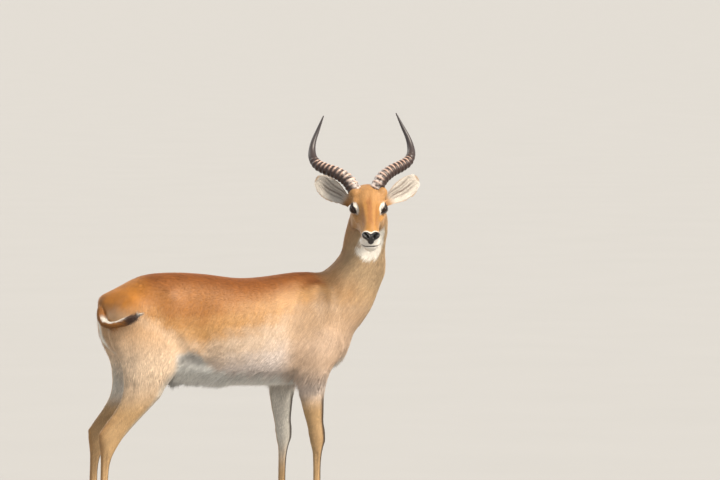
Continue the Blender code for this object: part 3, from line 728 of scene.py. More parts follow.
def sight_frame(side):
    """Three directions in head space: forward along the lids, up across them, and out of the eye."""
    out = np.array([EYE_SIGHT[0], side * EYE_SIGHT[1], EYE_SIGHT[2]])
    out /= np.linalg.norm(out)
    ahead = np.cross(np.array([0, 0, 1.0]), out) * -side
    ahead /= np.linalg.norm(ahead)
    up = np.cross(out, ahead) * -side
    tilt = math.radians(LID_TILT)
    ahead, up = ahead * math.cos(tilt) - up * math.sin(tilt), up * math.cos(tilt) + ahead * math.sin(tilt)
    return np.array([ahead, up, out])


def eye_centre(side):
    """The middle of an eye, in head space."""
    return np.array([EYE_CENTRE[0], side * EYE_CENTRE[1], EYE_CENTRE[2]])


def lid_edge(count):
    """The almond between the lids, seen along the line of sight: forward and up, in cm."""
    angle = np.arange(count) / count * math.tau
    c, s = np.cos(angle), np.sin(angle)
    up = np.where(s > 0, LID_RISE, LID_FALL) * np.sign(s) * np.abs(s) ** ALMOND
    return LID_HALF_WIDTH * c, up


def opening(ahead, up):
    """1 on the edge of the lids, less between them and more outside."""
    rise = np.where(up > 0, LID_RISE, LID_FALL)
    angle = np.arctan2(np.abs(up / rise) ** (1 / ALMOND), np.abs(ahead / LID_HALF_WIDTH))
    edge = np.hypot(LID_HALF_WIDTH * np.cos(angle), rise * np.sin(angle) ** ALMOND)
    return np.hypot(ahead, up) / np.maximum(edge, 1e-6)


def seen_from_eye(head, side):
    """Points in head space as they lie ahead of, above and out from the middle of an eye."""
    return (head - eye_centre(side)) @ sight_frame(side).T


def out_of_eye(local, side):
    """Points in an eye's own space as they lie in head space."""
    return eye_centre(side) + local @ sight_frame(side)


def soft_max(a, b, reach):
    """The larger of two heights, rounded where they cross."""
    blend = np.clip(0.5 + 0.5 * (b - a) / reach, 0, 1)
    return a + (b - a) * blend + reach * blend * (1 - blend)


def lidded(points):
    """Draws the skin over each eyeball up to the edges of its lids, and clear of it between them."""
    head = seen_from(points, head_frame())
    for side in (-1, 1):
        local = seen_from_eye(head, side)
        ahead, up, out = local.T
        flat = np.hypot(ahead, up)
        near = (flat < LID_REACH) & (out > -1.2) & (side * head[:, 1] > 0)
        ahead, up, out, flat = ahead[near], up[near], out[near], flat[near]
        inside = opening(ahead, up)
        ball = np.sqrt(np.maximum(EYE_RADIUS ** 2 - flat ** 2, 0.02))
        cover = np.sqrt(np.maximum((EYE_RADIUS + LID_THICKNESS) ** 2 - flat ** 2, 0.02))
        upper = 0.16 * np.exp(-((inside - 1.32) / 0.16) ** 2) * (up > 0)
        lower = 0.07 * np.exp(-((inside - 1.28) / 0.14) ** 2) * (up <= 0)
        cover = cover * ramp(flat, 3.0, 1.6) + out * ramp(flat, 1.6, 3.0)
        draped = soft_max(out, cover, 0.35) + upper + lower
        local[near, 2] = np.where(inside < 1, ball - BALL_CLEARANCE, draped)
        head = out_of_eye(local, side)
    return brought_from(head, head_frame())


# ---------------------------------------------------------------- one skin
FLESH_VOXEL, FLESH_ROUNDS = 0.32, 28  # cm, and rounds of smoothing
TORSO_ROUNDS = 240
WEIGHT_STEPS = 8  # in which the torso's smoothing fades out
SKIN_VOXEL, SKIN_ROUNDS = 0.24, 3
SKIN_TRIANGLES = 150000
FINE_REACH = 21.0  # cm round the face, within which the skin isn't thinned
EAR_REACH = 28.0  # the same above the height of the ears' roots
EARS_FROM = 115.0
NAPE = (61.2, -3.4, 118.4)  # cm, where the crest of the neck meets the back of the skull


def torso_smoothed(body):
    """Rounds the torso and the nape, so that their masses pass into one another without a crease."""
    points = places(body)
    x, _, z = points.T
    share = ramp(z, 54.0, 63.0) * ramp(x, -35.5, -31.0) * ramp(x + 0.5 * (z - 84.0), 57.0, 50.0)
    share = np.maximum(share, ramp(np.linalg.norm(points - NAPE, axis=1), 7.0, 3.0))
    torso = body.vertex_groups.new(name="torso")
    for k in range(1, WEIGHT_STEPS + 1):
        here = np.nonzero((share > (k - 1) / WEIGHT_STEPS) & (share <= k / WEIGHT_STEPS))[0]
        torso.add(here.tolist(), k / WEIGHT_STEPS, "REPLACE")
    blend = body.modifiers.new("blend", "SMOOTH")
    blend.factor, blend.iterations, blend.vertex_group = 0.5, TORSO_ROUNDS, "torso"
    settled(body)
    body.vertex_groups.clear()
    return body


def finer_near(obj, spots):
    """Splits the edges within reach of some spots, in cm, so that small forms can be carved there."""
    points = places(obj)
    near = np.zeros(len(points), bool)
    for spot, reach in spots:
        near |= np.linalg.norm(points - spot, axis=1) < reach
    bm = bmesh.new()
    bm.from_mesh(obj.data)
    bm.verts.ensure_lookup_table()
    edges = [edge for edge in bm.edges if near[edge.verts[0].index] and near[edge.verts[1].index]]
    bmesh.ops.subdivide_edges(bm, edges=edges, cuts=1, smooth=0.0)
    bmesh.ops.triangulate(bm, faces=[face for face in bm.faces if len(face.verts) > 4])
    bm.to_mesh(obj.data)
    bm.free()


def head_spots():
    """Where the head is carved most finely: both eyes and most of the mouth."""
    spots = [(eye_centre(side) + sight_frame(side)[2] * 1.2, 2.7) for side in (-1, 1)]
    spots += [((x, side * y, z), 1.3) for x, y, z in MOUTH[:5] for side in (-1, 1)]
    return [(brought_from(spot, head_frame()), reach) for spot, reach in spots]


def skin():
    """One skin over all the flesh: fused, smoothed, thinned away from the face, and carved."""
    masses = [*trunk_masses(), neck_mass(), *head_masses()]
    masses += [leg_mass(stations, side, setback) for stations, side, setback, _ in LEGS.values()]
    body = torso_smoothed(fused(joined("body", masses), FLESH_VOXEL, FLESH_ROUNDS))
    body = fused(joined("skin", [body, ear("ear", -1), ear("ear", 1), tail()]), SKIN_VOXEL, SKIN_ROUNDS)
    points = places(body)
    from_face = np.linalg.norm(seen_from(points, head_frame()) - (3.0, 0, 0), axis=1)
    far = from_face > np.where(points[:, 2] > EARS_FROM, EAR_REACH, FINE_REACH)
    plain = body.vertex_groups.new(name="plain")
    plain.add(np.nonzero(far)[0].tolist(), 1.0, "REPLACE")
    thin = body.modifiers.new("thin", "DECIMATE")
    thin.ratio = SKIN_TRIANGLES / sum(len(face.vertices) - 2 for face in body.data.polygons)
    thin.vertex_group = "plain"
    whole(settled(body))
    body.vertex_groups.clear()
    finer_near(body, head_spots())
    put(body, places(body) + outward(body) * carved(places(body))[:, None])
    put(body, lidded(places(body)))
    body.data.shade_smooth()
    return body


# ---------------------------------------------------------------- regions of the coat
def move(values, share, towards):
    """Moves values towards others, in place, by a share at each point."""
    values += share[:, None] * (towards - values)


def blended(parts):
    """Mixes values by weights: each part is a weight and a value, and later ones cover earlier ones."""
    total = None
    for weight, value in parts:
        value = np.asarray(value, float)
        if total is None:
            total = np.broadcast_to(value, (len(weight), *value.shape[-1:])).astype(float).copy()
            continue
        move(total, weight, value)
    return total


NECK_LINE = [
    # along the middle of the neck, up to the skull, in cm
    (46.6, 0.0, 70.0), (52.0, 0.0, 84.0), (57.0, -1.0, 95.0), (60.3, -2.8, 104.5), (60.6, -6.6, 114.0),
]
POLL = (60.0, -10.0, 115.2)  # cm, where the head meets the neck
FACEWARD = (0.955, 0, 0.296)  # from there towards the face, before the head is turned


class Ground:
    """What the markings and the hair need to know of each point of the skin, all in cm."""

    def __init__(self, points, normals):
        self.points, self.normals = points, normals
        self.x, self.y, self.z = points.T
        self.head = seen_from(points, head_frame())
        self.level = seen_from(points, level_frame())
        faceward = directed(FACEWARD, Matrix.Rotation(math.radians(HEAD_TURN), 4, "Z"))
        ahead_of_poll = (points - POLL) @ faceward
        self.past_poll = ramp(ahead_of_poll, -2.0, 6.0)
        close = ramp(np.linalg.norm(self.head - (4.0, 0, -2.0), axis=1), 24.0, 18.0)
        self.on_head = ramp(ahead_of_poll, -1.5, 1.5) * close * ramp(self.z, 98.0, 100.0)
        self.on_ear = np.zeros(len(points))
        self.ear_inside = np.zeros(len(points))
        self.ear_share = np.zeros(len(points))
        self.ear_across = np.zeros(len(points))
        self.ear_edge = np.zeros(len(points))  # 0 along the middle of the ear, 1 at its rim
        self.ear_heading = np.zeros((len(points), 3))
        normals_level = normals @ np.array(level_frame())[:3, :3]
        for side in (-1, 1):
            base, tip, open_to, lower = ear_axes(side)
            away, share, heading = along_path(self.level, [base, tip])
            from_root = (self.level - base) @ heading[0]
            here = ramp(away, 5.6, 5.0) * ramp(from_root, 0.4, 2.0) * (self.level[:, 1] * side > 5.5)
            self.on_ear = np.maximum(self.on_ear, here)
            near_ear = ramp(np.linalg.norm(self.level - base, axis=1), 6.5, 4.0)
            self.past_poll = np.maximum(self.past_poll, near_ear)
            chosen = here > 0
            self.ear_share[chosen] = share[chosen]
            across = (self.level - base - share[:, None] * (tip - base)) @ lower
            self.ear_across[chosen] = across[chosen]
            wide, shift = (np.interp(share, EAR_ROWS[:, 0], EAR_ROWS[:, k]) for k in (1, 3))
            self.ear_edge[chosen] = (np.abs(across - shift) / wide)[chosen]
            self.ear_heading[chosen] = directed(heading[0], level_frame())
            inside = ramp(normals_level @ open_to, -0.05, 0.25) * ramp(from_root, 1.6, 3.4)
            self.ear_inside[chosen] = inside[chosen]
        away, self.tail_share, self.tail_heading = along_path(points, TAIL_PATH)
        self.on_tail = ramp(away, 2.9, 2.2) * ramp(self.tail_share, 0.10, 0.22)
        self.on_fore = ramp(self.z, 58.0, 50.0) * (self.x > 12)
        self.on_hind = ramp(self.z, 66.0, 54.0) * (self.x < -2)
        before_withers = ramp(self.x + 0.55 * (self.z - 84.0), 45.0, 53.0)
        self.on_neck = before_withers * ramp(self.z, 76.0, 90.0) * (1 - self.on_head)
        self.inner = ramp(normals[:, 1] * np.sign(self.y), 0.05, -0.45)


def lie_of(g):
    """The direction in which the hair lies at each point; its length doesn't matter."""
    back = np.array([-1.0, 0, -0.10])
    flank = np.array([-0.62, 0, -0.80])
    low = ramp(g.z, 92.0, 80.0)
    body = back + low[:, None] * (flank - back)
    belly = ramp(g.z, 60.0, 56.0)
    move(body, belly, np.array([-0.6, 0, -0.75]))
    haunch = ramp(g.x, -8.0, -20.0) * ramp(g.z, 92.0, 80.0)
    move(body, haunch, np.array([-0.22, 0, -1.0]))
    neck_heading = along_path(g.points, [row[:3] for row in NECK_LINE])[2]
    move(body, g.on_neck, -neck_heading + np.array([-0.25, 0, 0]))
    for share in (g.on_fore, g.on_hind):
        move(body, share, np.array([-0.12, 0, -1.0]))
    cheeks = ramp(g.head[:, 2], 0.5, -4.0)[:, None]
    face = np.array([-1.0, 0, 0.12]) + cheeks * np.array([0.1, 0, -0.55])
    apart = np.zeros((len(g.x), 3))
    apart[:, 1] = np.sign(g.head[:, 1]) * 0.25 * ramp(g.head[:, 0], 9.0, 14.0)
    around_pad = g.head * (0, 1, 1) + (0, 0, 2.2)
    front = ramp(g.head[:, 0], 14.0, 16.0)[:, None]
    face = (face + apart) * (1 - front) + around_pad * front
    face = face @ np.array(head_frame())[:3, :3].T
    move(body, g.on_head * g.past_poll, face)
    move(body, g.on_ear, g.ear_heading)
    move(body, g.on_tail, g.tail_heading)
    return body


# ---------------------------------------------------------------- markings
def linear(hex_colour):
    """An sRGB hex colour as linear red, green and blue."""
    channels = [int(hex_colour[k:k + 2], 16) / 255 for k in (0, 2, 4)]
    return np.array([c / 12.92 if c <= 0.04045 else ((c + 0.055) / 1.055) ** 2.4 for c in channels])


BACK = linear("844a14")
# a lighter tan than the saddle: painted light for the rump, where it turns away from the lamps
RUMP_PAINTED_LIGHT = linear("af7026")
SADDLE = linear("9a6224")
UPPER_FLANK = linear("b48651")
FLANK = linear("c8af96")
LOW_FLANK = linear("d8c9bf")
THIGH = linear("c9a27a")
SHOULDER = linear("ad8a66")
NECK_TAN = linear("ab8053")
THROAT_TAN = linear("ad9270")
THIGH_PALE = linear("e2c6a8")
LEG_TAN = linear("b9966a")
HOCK_BROWN = linear("a8763f")
WHITE = linear("ece6db")
BELLY_WHITE = linear("e3e1da")
# grey of the groin's thin-haired skin, and painted shade in the pocket under the fold of the flank
GROIN_GREY_AND_SHADE = linear("938e88")
DULL_WHITE = linear("cfc8bc")
FACE = linear("b4803f")
FOREHEAD = linear("b5854f")
FACE_DEEP = linear("9c6430")
CHEEK_TAN_AND_SHADE = linear("b58c5e")
EAR_BACK = linear("b58d62")
EAR_RIM = linear("b98f62")
EAR_STREAK = linear("6b5648")
EAR_WHITE = linear("e2dacf")
STRIPE_BLACK = linear("2a201a")
TAIL_BROWN = linear("3a2317")
LID_DARK = linear("2b1c14")

# Where the saddle ends below and the belly's white above: cm along the animal and cm above the ground.
SADDLE_EDGE = [
    (-36, 84), (-23.5, 80), (-15, 75.2), (-10, 72.4), (-6.5, 70.5), (-1.5, 70), (3, 72), (9, 74), (19, 76.5),
    (30, 80), (42, 84),
]
WHITE_EDGE = [
    (-14, 66), (-8, 66.6), (-4.5, 66.3), (-2, 65.0), (0.8, 62.0), (4, 59.8), (8, 58.6), (18, 58.0),
    (26, 57.6), (33, 57.5), (46, 59), (52, 62),
]


def ragged(points, size, depth):
    """A slow wander of a marking's edge, in cm, from a few sums of waves."""
    p = points / size
    wave = np.sin(p[:, 0] * 2.1 + np.sin(p[:, 2] * 1.7)) + np.sin(p[:, 2] * 2.9 + p[:, 1] * 1.3)
    return depth * 0.5 * (wave + np.sin(p[:, 0] * 5.3 + p[:, 2] * 4.1) * 0.6)


def edge_at(x, edge):
    """The height of an edge at each place along the animal."""
    xs, zs = np.array(edge, float).T
    return np.interp(x, xs, zs)


def markings(g):
    """The coat's colour at each point, linear."""
    wander = ragged(g.points, 2.2, 0.7)
    saddle = edge_at(g.x, SADDLE_EDGE) + 1.5 * wander
    high = g.z - saddle
    colour = blended([
        (g.x, LOW_FLANK),
        (ramp(high, -16, -5), FLANK),
        (ramp(high, -5.5, 3.5), UPPER_FLANK),
        (ramp(high + 3.5 * ramp(g.x, -6.0, -14.0), 3, 12), SADDLE),
        (ramp(g.normals[:, 2], 0.40, 0.95) * ramp(g.z, 82.0, 88.0) * ramp(g.x, -29.0, -17.0), BACK),
    ])
    haunch = ramp(g.x, -3.0, -10.0)
    move(colour, haunch * ramp(high, 0.8, -5.0), THIGH)
    move(colour, haunch * ramp(g.z, 76.0, 62.0), THIGH_PALE)
    # Painted light: the rump is given a lighter tan to make up for the light it misses as it faces back,
    # away from the lamps.
    rump_painted_light = ramp(g.x, -17.0, -27.0) * ramp(g.z, 78.0, 86.0)
    move(colour, rump_painted_light, RUMP_PAINTED_LIGHT)
    shoulder = ramp(g.x, 24.0, 34.0) * ramp(g.z, 88.0, 78.0) * ramp(g.z, 50.0, 62.0)
    move(colour, 0.75 * shoulder, SHOULDER)
    move(colour, g.on_neck, neck_colour(g))
    legs = np.maximum(ramp(g.z, 56.0, 44.0) * (g.x > 12), ramp(g.z, 58.0, 44.0) * (g.x < 0))
    move(colour, legs, LEG_TAN)
    hock = g.on_hind * ramp(g.z, 47.0, 40.0) * ramp(g.normals[:, 0], -0.2, -0.9)
    move(colour, 0.6 * hock, HOCK_BROWN)

    below = edge_at(g.x, WHITE_EDGE) + wander - g.z
    belly = ramp(below, -1.6, 1.8) * (1 - g.on_fore) * ramp(g.x, 50.0, 44.0)
    belly *= np.maximum(ramp(g.x, -12.5, -9.0), ramp(np.abs(g.y), 4.0, 2.0) * (g.z > 50))
    belly *= 1 - ramp(g.x, 30.0, 34.0) * ramp(np.abs(g.y), 5.0, 7.0)
    inner = g.inner * ramp(np.abs(g.y), 10.0, 8.0)
    inner_leg = inner * np.maximum(g.on_fore * ramp(g.z, 20.0, 34.0), g.on_hind * ramp(g.z, 45.0, 53.0))
    brisket = ramp(g.x, 38.0, 43.0) * ramp(g.z, 66.0, 60.0) * ramp(np.abs(g.y), 5.5, 3.0)
    buttock = ramp(g.x, -33.2, -35.2) * ramp(np.abs(g.y) + 0.15 * (g.z - 66.0), 4.2, 2.2)
    buttock *= ramp(g.z, 84.0, 79.0) * ramp(g.z, 44.0, 54.0)
    # Partly painted highlight: the forward-facing edge of the thigh, turned towards the lamps, is paled both
    # as whitish hair and as light.
    thigh_front_pale_and_lit = ramp(g.normals[:, 0], 0.20, 0.70) * ramp(g.x, -6, -10)
    thigh_front_pale_and_lit *= ramp(g.z, 64.0, 57.0) * ramp(g.z, 34.0, 42.0)
    # Partly painted shade: the top of the pocket under the fold of the flank is greyed, both as its grey
    # skin and as the shade that falls into it.
    groin_grey_and_shade = belly * ramp(g.z, 60.0, 63.5) * ramp(g.x, 5.0, 1.0)
    pastern = ramp(g.z, 8.6, 7.4) * 0.85
    whites = [
        (belly, BELLY_WHITE), (0.7 * groin_grey_and_shade, GROIN_GREY_AND_SHADE), (inner_leg, DULL_WHITE), (brisket, WHITE),
        (buttock, WHITE), (0.75 * thigh_front_pale_and_lit, DULL_WHITE), (pastern, DULL_WHITE),
    ]
    for share, white in whites:
        move(colour, share, white)
    front = ramp(g.normals[:, 0], 0.35, 0.8)
    fore_stripe = front * g.on_fore * ramp(g.z, 54.0, 48.0) * ramp(g.z, 9.0, 11.0)
    hind_stripe = ramp(g.normals[:, 0], 0.6, 0.9) * g.on_hind * ramp(g.z, 34.0, 28.0) * ramp(g.z, 9.0, 11.0)
    coronet_dark = ramp(g.z, 5.6, 4.9) * 0.5
    for share in (0.92 * fore_stripe, 0.7 * hind_stripe, coronet_dark):
        move(colour, share, STRIPE_BLACK)
    move(colour, g.on_tail, tail_colour(g))
    move(colour, g.on_head, face_colour(g))
    move(colour, g.on_ear, ear_colour(g))
    colour *= 1 + (STREAK_STRENGTH * (1 - g.on_head) * (1 - g.on_ear) * streaks(g.points))[:, None]
    return np.clip(colour, 0, 1)


STREAK_STRENGTH = 0.12
STREAK_SIZE = (0.55, 4.5)  # cm across the lie of the hair and along it
STREAK_TABLE = 64  # random shades each way, after which they repeat


def streaks(points):
    """Light and dark strands that run with the hair down the sides, between -1 and 1."""
    table = np.random.default_rng(5).uniform(-1, 1, (STREAK_TABLE, STREAK_TABLE))
    x, y, z = points.T
    across = (0.80 * x - 0.62 * z + 0.7 * y) / STREAK_SIZE[0]
    along = (0.62 * x + 0.80 * z) / STREAK_SIZE[1]
    column, row = np.floor(across).astype(int), np.floor(along).astype(int)
    right, up = ramp(across - column, 0, 1), ramp(along - row, 0, 1)
    left_of, right_of = column % STREAK_TABLE, (column + 1) % STREAK_TABLE
    below, above = table[row % STREAK_TABLE], table[(row + 1) % STREAK_TABLE]
    every = np.arange(len(x))
    near = below[every, left_of] * (1 - right) + below[every, right_of] * right
    far = above[every, left_of] * (1 - right) + above[every, right_of] * right
    return near * (1 - up) + far * up


def neck_colour(g):
    """Tan, deeper along the crest and paler down the throat, with a white patch under the jaw."""
    heading = along_path(g.points, NECK_LINE)[2]
    turned = ramp(g.z, 86.0, 101.0)[:, None]
    throat = np.array([0.12, -1.0, 0]) * turned + np.array([1.0, -0.3, 0]) * (1 - turned)
    throat -= heading * np.sum(throat * heading, axis=1)[:, None]
    facing = np.sum(throat * g.normals, axis=1)
    colour = blended([
        (g.x, NECK_TAN),
        (ramp(facing, -0.2, 0.75), THROAT_TAN),
        (ramp(facing, -0.35, -0.9), SADDLE),
    ])
    narrow = np.interp(g.z, (97.5, 99.0, 102.0, 106.0), (0.98, 0.93, 0.82, 0.74))
    patch = ramp(facing + 0.03 * ragged(g.points, 1.5, 1.0) - narrow, -0.05, 0.05)
    return colour + patch[:, None] * (WHITE - colour)


def face_colour(g):
    """Tan, deeper down the nose and greyer on the cheeks, partly as painted shade, with white round eyes and
    muzzle, and dark lids and mouth.
    """
    x, y, z = g.head.T
    away = np.abs(y)
    wander = ragged(g.head + 40.0, 1.1, 0.22)
    bridge = ramp(away + wander, 1.5, 0.3) * ramp(x, -1.5, 2.5) * ramp(x, 14.5, 10.0)
    colour = blended([
        (x, FACE),
        (ramp(x, 4.0, -1.0), FOREHEAD),
        (0.8 * bridge, FACE_DEEP),
        # partly painted shade: the lower cheeks take a greyer tan, as shade on the sides of the face
        (ramp(z, -1.6, -4.2) * ramp(x, -9.0, -4.0), CHEEK_TAN_AND_SHADE),
    ])
    streak = np.exp(-((away - 2.7 + 0.05 * x) / 0.5) ** 2)
    streak *= ramp(x, 2.0, 4.5) * ramp(x, 13.0, 10.0) * (z > -2)
    parting = np.exp(-(y / 0.35) ** 2) * ramp(x, -4.5, -6.0)
    for share in (0.6 * streak, 0.55 * parting):
        move(colour, share, FACE_DEEP)
    for side in (-1, 1):
        local = seen_from_eye(g.head, side)
        ahead, up, out = local.T
        facing = ramp(out, -0.8, 0.2) * (side * y > 0)
        above = np.hypot((ahead - 0.7) / 2.3, (up - 1.35) / 1.0) + 0.35 * wander
        below = np.hypot((ahead + 0.1) / 1.9, (up + 1.35) / 0.55) + 0.3 * wander
        inner_corner = np.hypot((ahead - 2.1) / 1.1, (up - 0.5) / 1.5) + 0.3 * wander
        white = np.maximum(ramp(above, 1.15, 0.75), ramp(inner_corner, 1.15, 0.65))
        white = np.maximum(white, 0.7 * ramp(below, 1.15, 0.7)) * facing
        move(colour, 0.92 * white, WHITE)
        reach = 0.40 * ramp(-ahead, 0.2, 1.4)
        lids = ramp(opening(ahead, up) - reach, 1.36, 1.18) * facing
        tear = np.exp(-(np.hypot((ahead - 2.0) / 0.8, (up + 0.30) / 0.34)) ** 2) * facing
        move(colour, np.maximum(lids, 0.85 * tear), LID_DARK)
    rim = np.hypot(y / 3.7, (z + 2.75) / 2.55)
    muzzle = ramp(x, 14.0, 15.0) * ramp(rim + 0.15 * wander, 1.14, 0.98) * ramp(z, -1.4, -2.6)
    muzzle = np.maximum(muzzle, ramp(to_pad(g.head) + 0.15 * wander, 1.30, 1.15))
    lip_rise = 1.2 * ramp(x, 11.0, 15.0)
    lips = ramp(z + wander, -4.6 + lip_rise, -5.4 + lip_rise) * ramp(x, 6.5, 9.5)
    chin = ramp(z + wander, -7.2, -8.4) * ramp(x, -2.0, 4.0) * ramp(away, 4.2, 3.2)
    for share in (muzzle, lips, chin):
        move(colour, share, WHITE)
    mouth = np.exp(-(over_mouth(g.head) / 0.27) ** 4) * ramp(x, 8.0, 10.0)
    move(colour, 0.95 * mouth, LID_DARK)
    return colour


def ear_colour(g):
    """White inside, with brown streaks and a thin tan edge; grey-tan behind, darker at the tip."""
    inside = blended([(g.x, EAR_WHITE)])
    for middle, width, deep in ((-2.0, 0.40, 0.75), (-0.7, 0.30, 0.5), (0.5, 0.42, 0.8), (1.9, 0.36, 0.6)):
        wander = 0.35 * np.sin(g.ear_share * 9 + middle * 5)
        streak = np.exp(-((g.ear_across - middle * (0.5 + 0.7 * g.ear_share) - wander) / width) ** 2)
        streak *= ramp(g.ear_share, 0.10, 0.28) * ramp(g.ear_share, 0.92, 0.66)
        move(inside, deep * streak, EAR_STREAK)
    tip = 0.8 * ramp(g.ear_share, 0.8, 1.0) * (1 - g.ear_inside)
    behind = blended([(g.x, EAR_BACK), (tip, TAIL_BROWN)])
    colour = behind + g.ear_inside[:, None] * (inside - behind)
    rim = np.maximum(ramp(g.ear_edge, 0.82, 0.93), ramp(g.ear_share, 0.94, 0.98))
    rim *= ramp(g.ear_inside, 0.0, 0.5)
    return colour + (0.8 * rim)[:, None] * (EAR_RIM - colour)


def tail_colour(g):
    """Tan, white along the top of its curl, and a dark tuft with pale hairs at its end."""
    upper = ramp(g.normals[:, 2] + 0.4 * g.normals[:, 0], 0.15, 0.6)
    return blended([
        (g.x, SADDLE),
        (upper * ramp(g.tail_share, 0.30, 0.42), WHITE),
        (ramp(g.tail_share, 0.72, 0.80), TAIL_BROWN),
        (0.85 * ramp(g.tail_share, 0.90, 0.97), DULL_WHITE),
    ])


# ---------------------------------------------------------------- materials
def add(tree, kind, inputs=None, **settings):
    """Adds a node with its settings; each input is a value or a socket to link from."""
    made = tree.nodes.new(kind)
    for name, value in settings.items():
        setattr(made, name, value)
    for name, value in (inputs or {}).items():
        if isinstance(value, bpy.types.NodeSocket):
            tree.links.new(value, made.inputs[name])
        else:
            made.inputs[name].default_value = value
    return made


def new_material(name, **constants):
    """A material whose Principled shader has these constant inputs, and its node tree."""
    made = bpy.data.materials.new(name)
    made.use_nodes = True
    shader = made.node_tree.nodes["Principled BSDF"]
    for key, value in constants.items():
        shader.inputs[key.replace("_", " ")].default_value = value
    return made, made.node_tree, shader


def paint(tree, shader, colour, height=None, strength=0.3, distance=0.0004):
    """Links a colour, and a bump of some height where there is one, to a shader."""
    tree.links.new(colour, shader.inputs["Base Color"])
    if height is not None:
        bump = add(tree, "ShaderNodeBump", {"Height": height, "Strength": strength, "Distance": distance})
        tree.links.new(bump.outputs["Normal"], shader.inputs["Normal"])


def hair_material(name, grain, relief):
    """Short oily antelope hair: deep colour with a soft gloss along each lock.

    The strands are 0.05 mm thick, too fine to show, so the noise draws them as coarse as grain.
    """
    made, tree, shader = new_material(name, Roughness=0.52, Specular_IOR_Level=0.38, Sheen_Weight=0.10,
                                      Sheen_Roughness=0.45, IOR=1.55)
    colour = add(tree, "ShaderNodeAttribute", attribute_name="coat_colour")
    place = add(tree, "ShaderNodeTexCoord").outputs["Object"]
    strands = add(tree, "ShaderNodeTexNoise", {"Vector": place, "Scale": 1 / grain, "Detail": 3.0})
    patches = add(tree, "ShaderNodeTexNoise", {"Vector": place, "Scale": 28.0, "Detail": 2.0})
    both = add(tree, "ShaderNodeMath", {
        0: strands.outputs["Fac"], 1: patches.outputs["Fac"]}, operation="ADD")
    shade = add(tree, "ShaderNodeMapRange", {"Value": both.outputs[0], "From Min": 0.6, "From Max": 1.4,
                                             "To Min": 0.93, "To Max": 1.06})
    tinted = add(tree, "ShaderNodeVectorMath", {
        0: colour.outputs["Color"], "Scale": shade.outputs["Result"]}, operation="SCALE")
    paint(tree, shader, tinted.outputs["Vector"], strands.outputs["Fac"], relief, grain / 2)
    return made


# ---------------------------------------------------------------- laying the coat
LOCK = [
    # one short lock, in its own length along X and its own width across: root, edges, ridge and tip
    (0.0, 0.0, -0.10),
    (0.36, 0.5, 0.02),
    (0.36, -0.5, 0.02),
    (0.42, 0.0, 0.30),
    (1.0, 0.0, -0.10),
]
LOCK_FACES = [(0, 3, 1), (0, 2, 3), (1, 3, 4), (3, 2, 4), (0, 1, 2), (1, 4, 2)]
LOCK_PATCH = [
    # the lock unfolded, over and then under, each corner of each face as shares of its patch
    ((0.0, 0.25), (0.42, 0.25), (0.36, 0.5)), ((0.0, 0.25), (0.36, 0.0), (0.42, 0.25)),
    ((0.36, 0.5), (0.42, 0.25), (1.0, 0.25)), ((0.42, 0.25), (0.36, 0.0), (1.0, 0.25)),
    ((0.0, 0.75), (0.36, 1.0), (0.36, 0.5)), ((0.36, 1.0), (1.0, 0.75), (0.36, 0.5)),
]
LOCK_SHADE = (0.86, 0.96, 0.96, 1.02, 1.08)  # each lock is darker at its root and bleached at its tip
PATCH_SIZE = 0.003  # of a lock on the unwrap, whose whole side is 1
UNEVEN = 0.09  # how much the locks' shades spread
PALE_UNEVEN = 0.09  # added on the pale underside


def lock_shape():
    """The lock that is laid again and again; it is linked to no collection."""
    mesh = bpy.data.meshes.new("lock")
    mesh.from_pydata(LOCK, [], LOCK_FACES)
    return bpy.data.objects.new("lock", mesh)


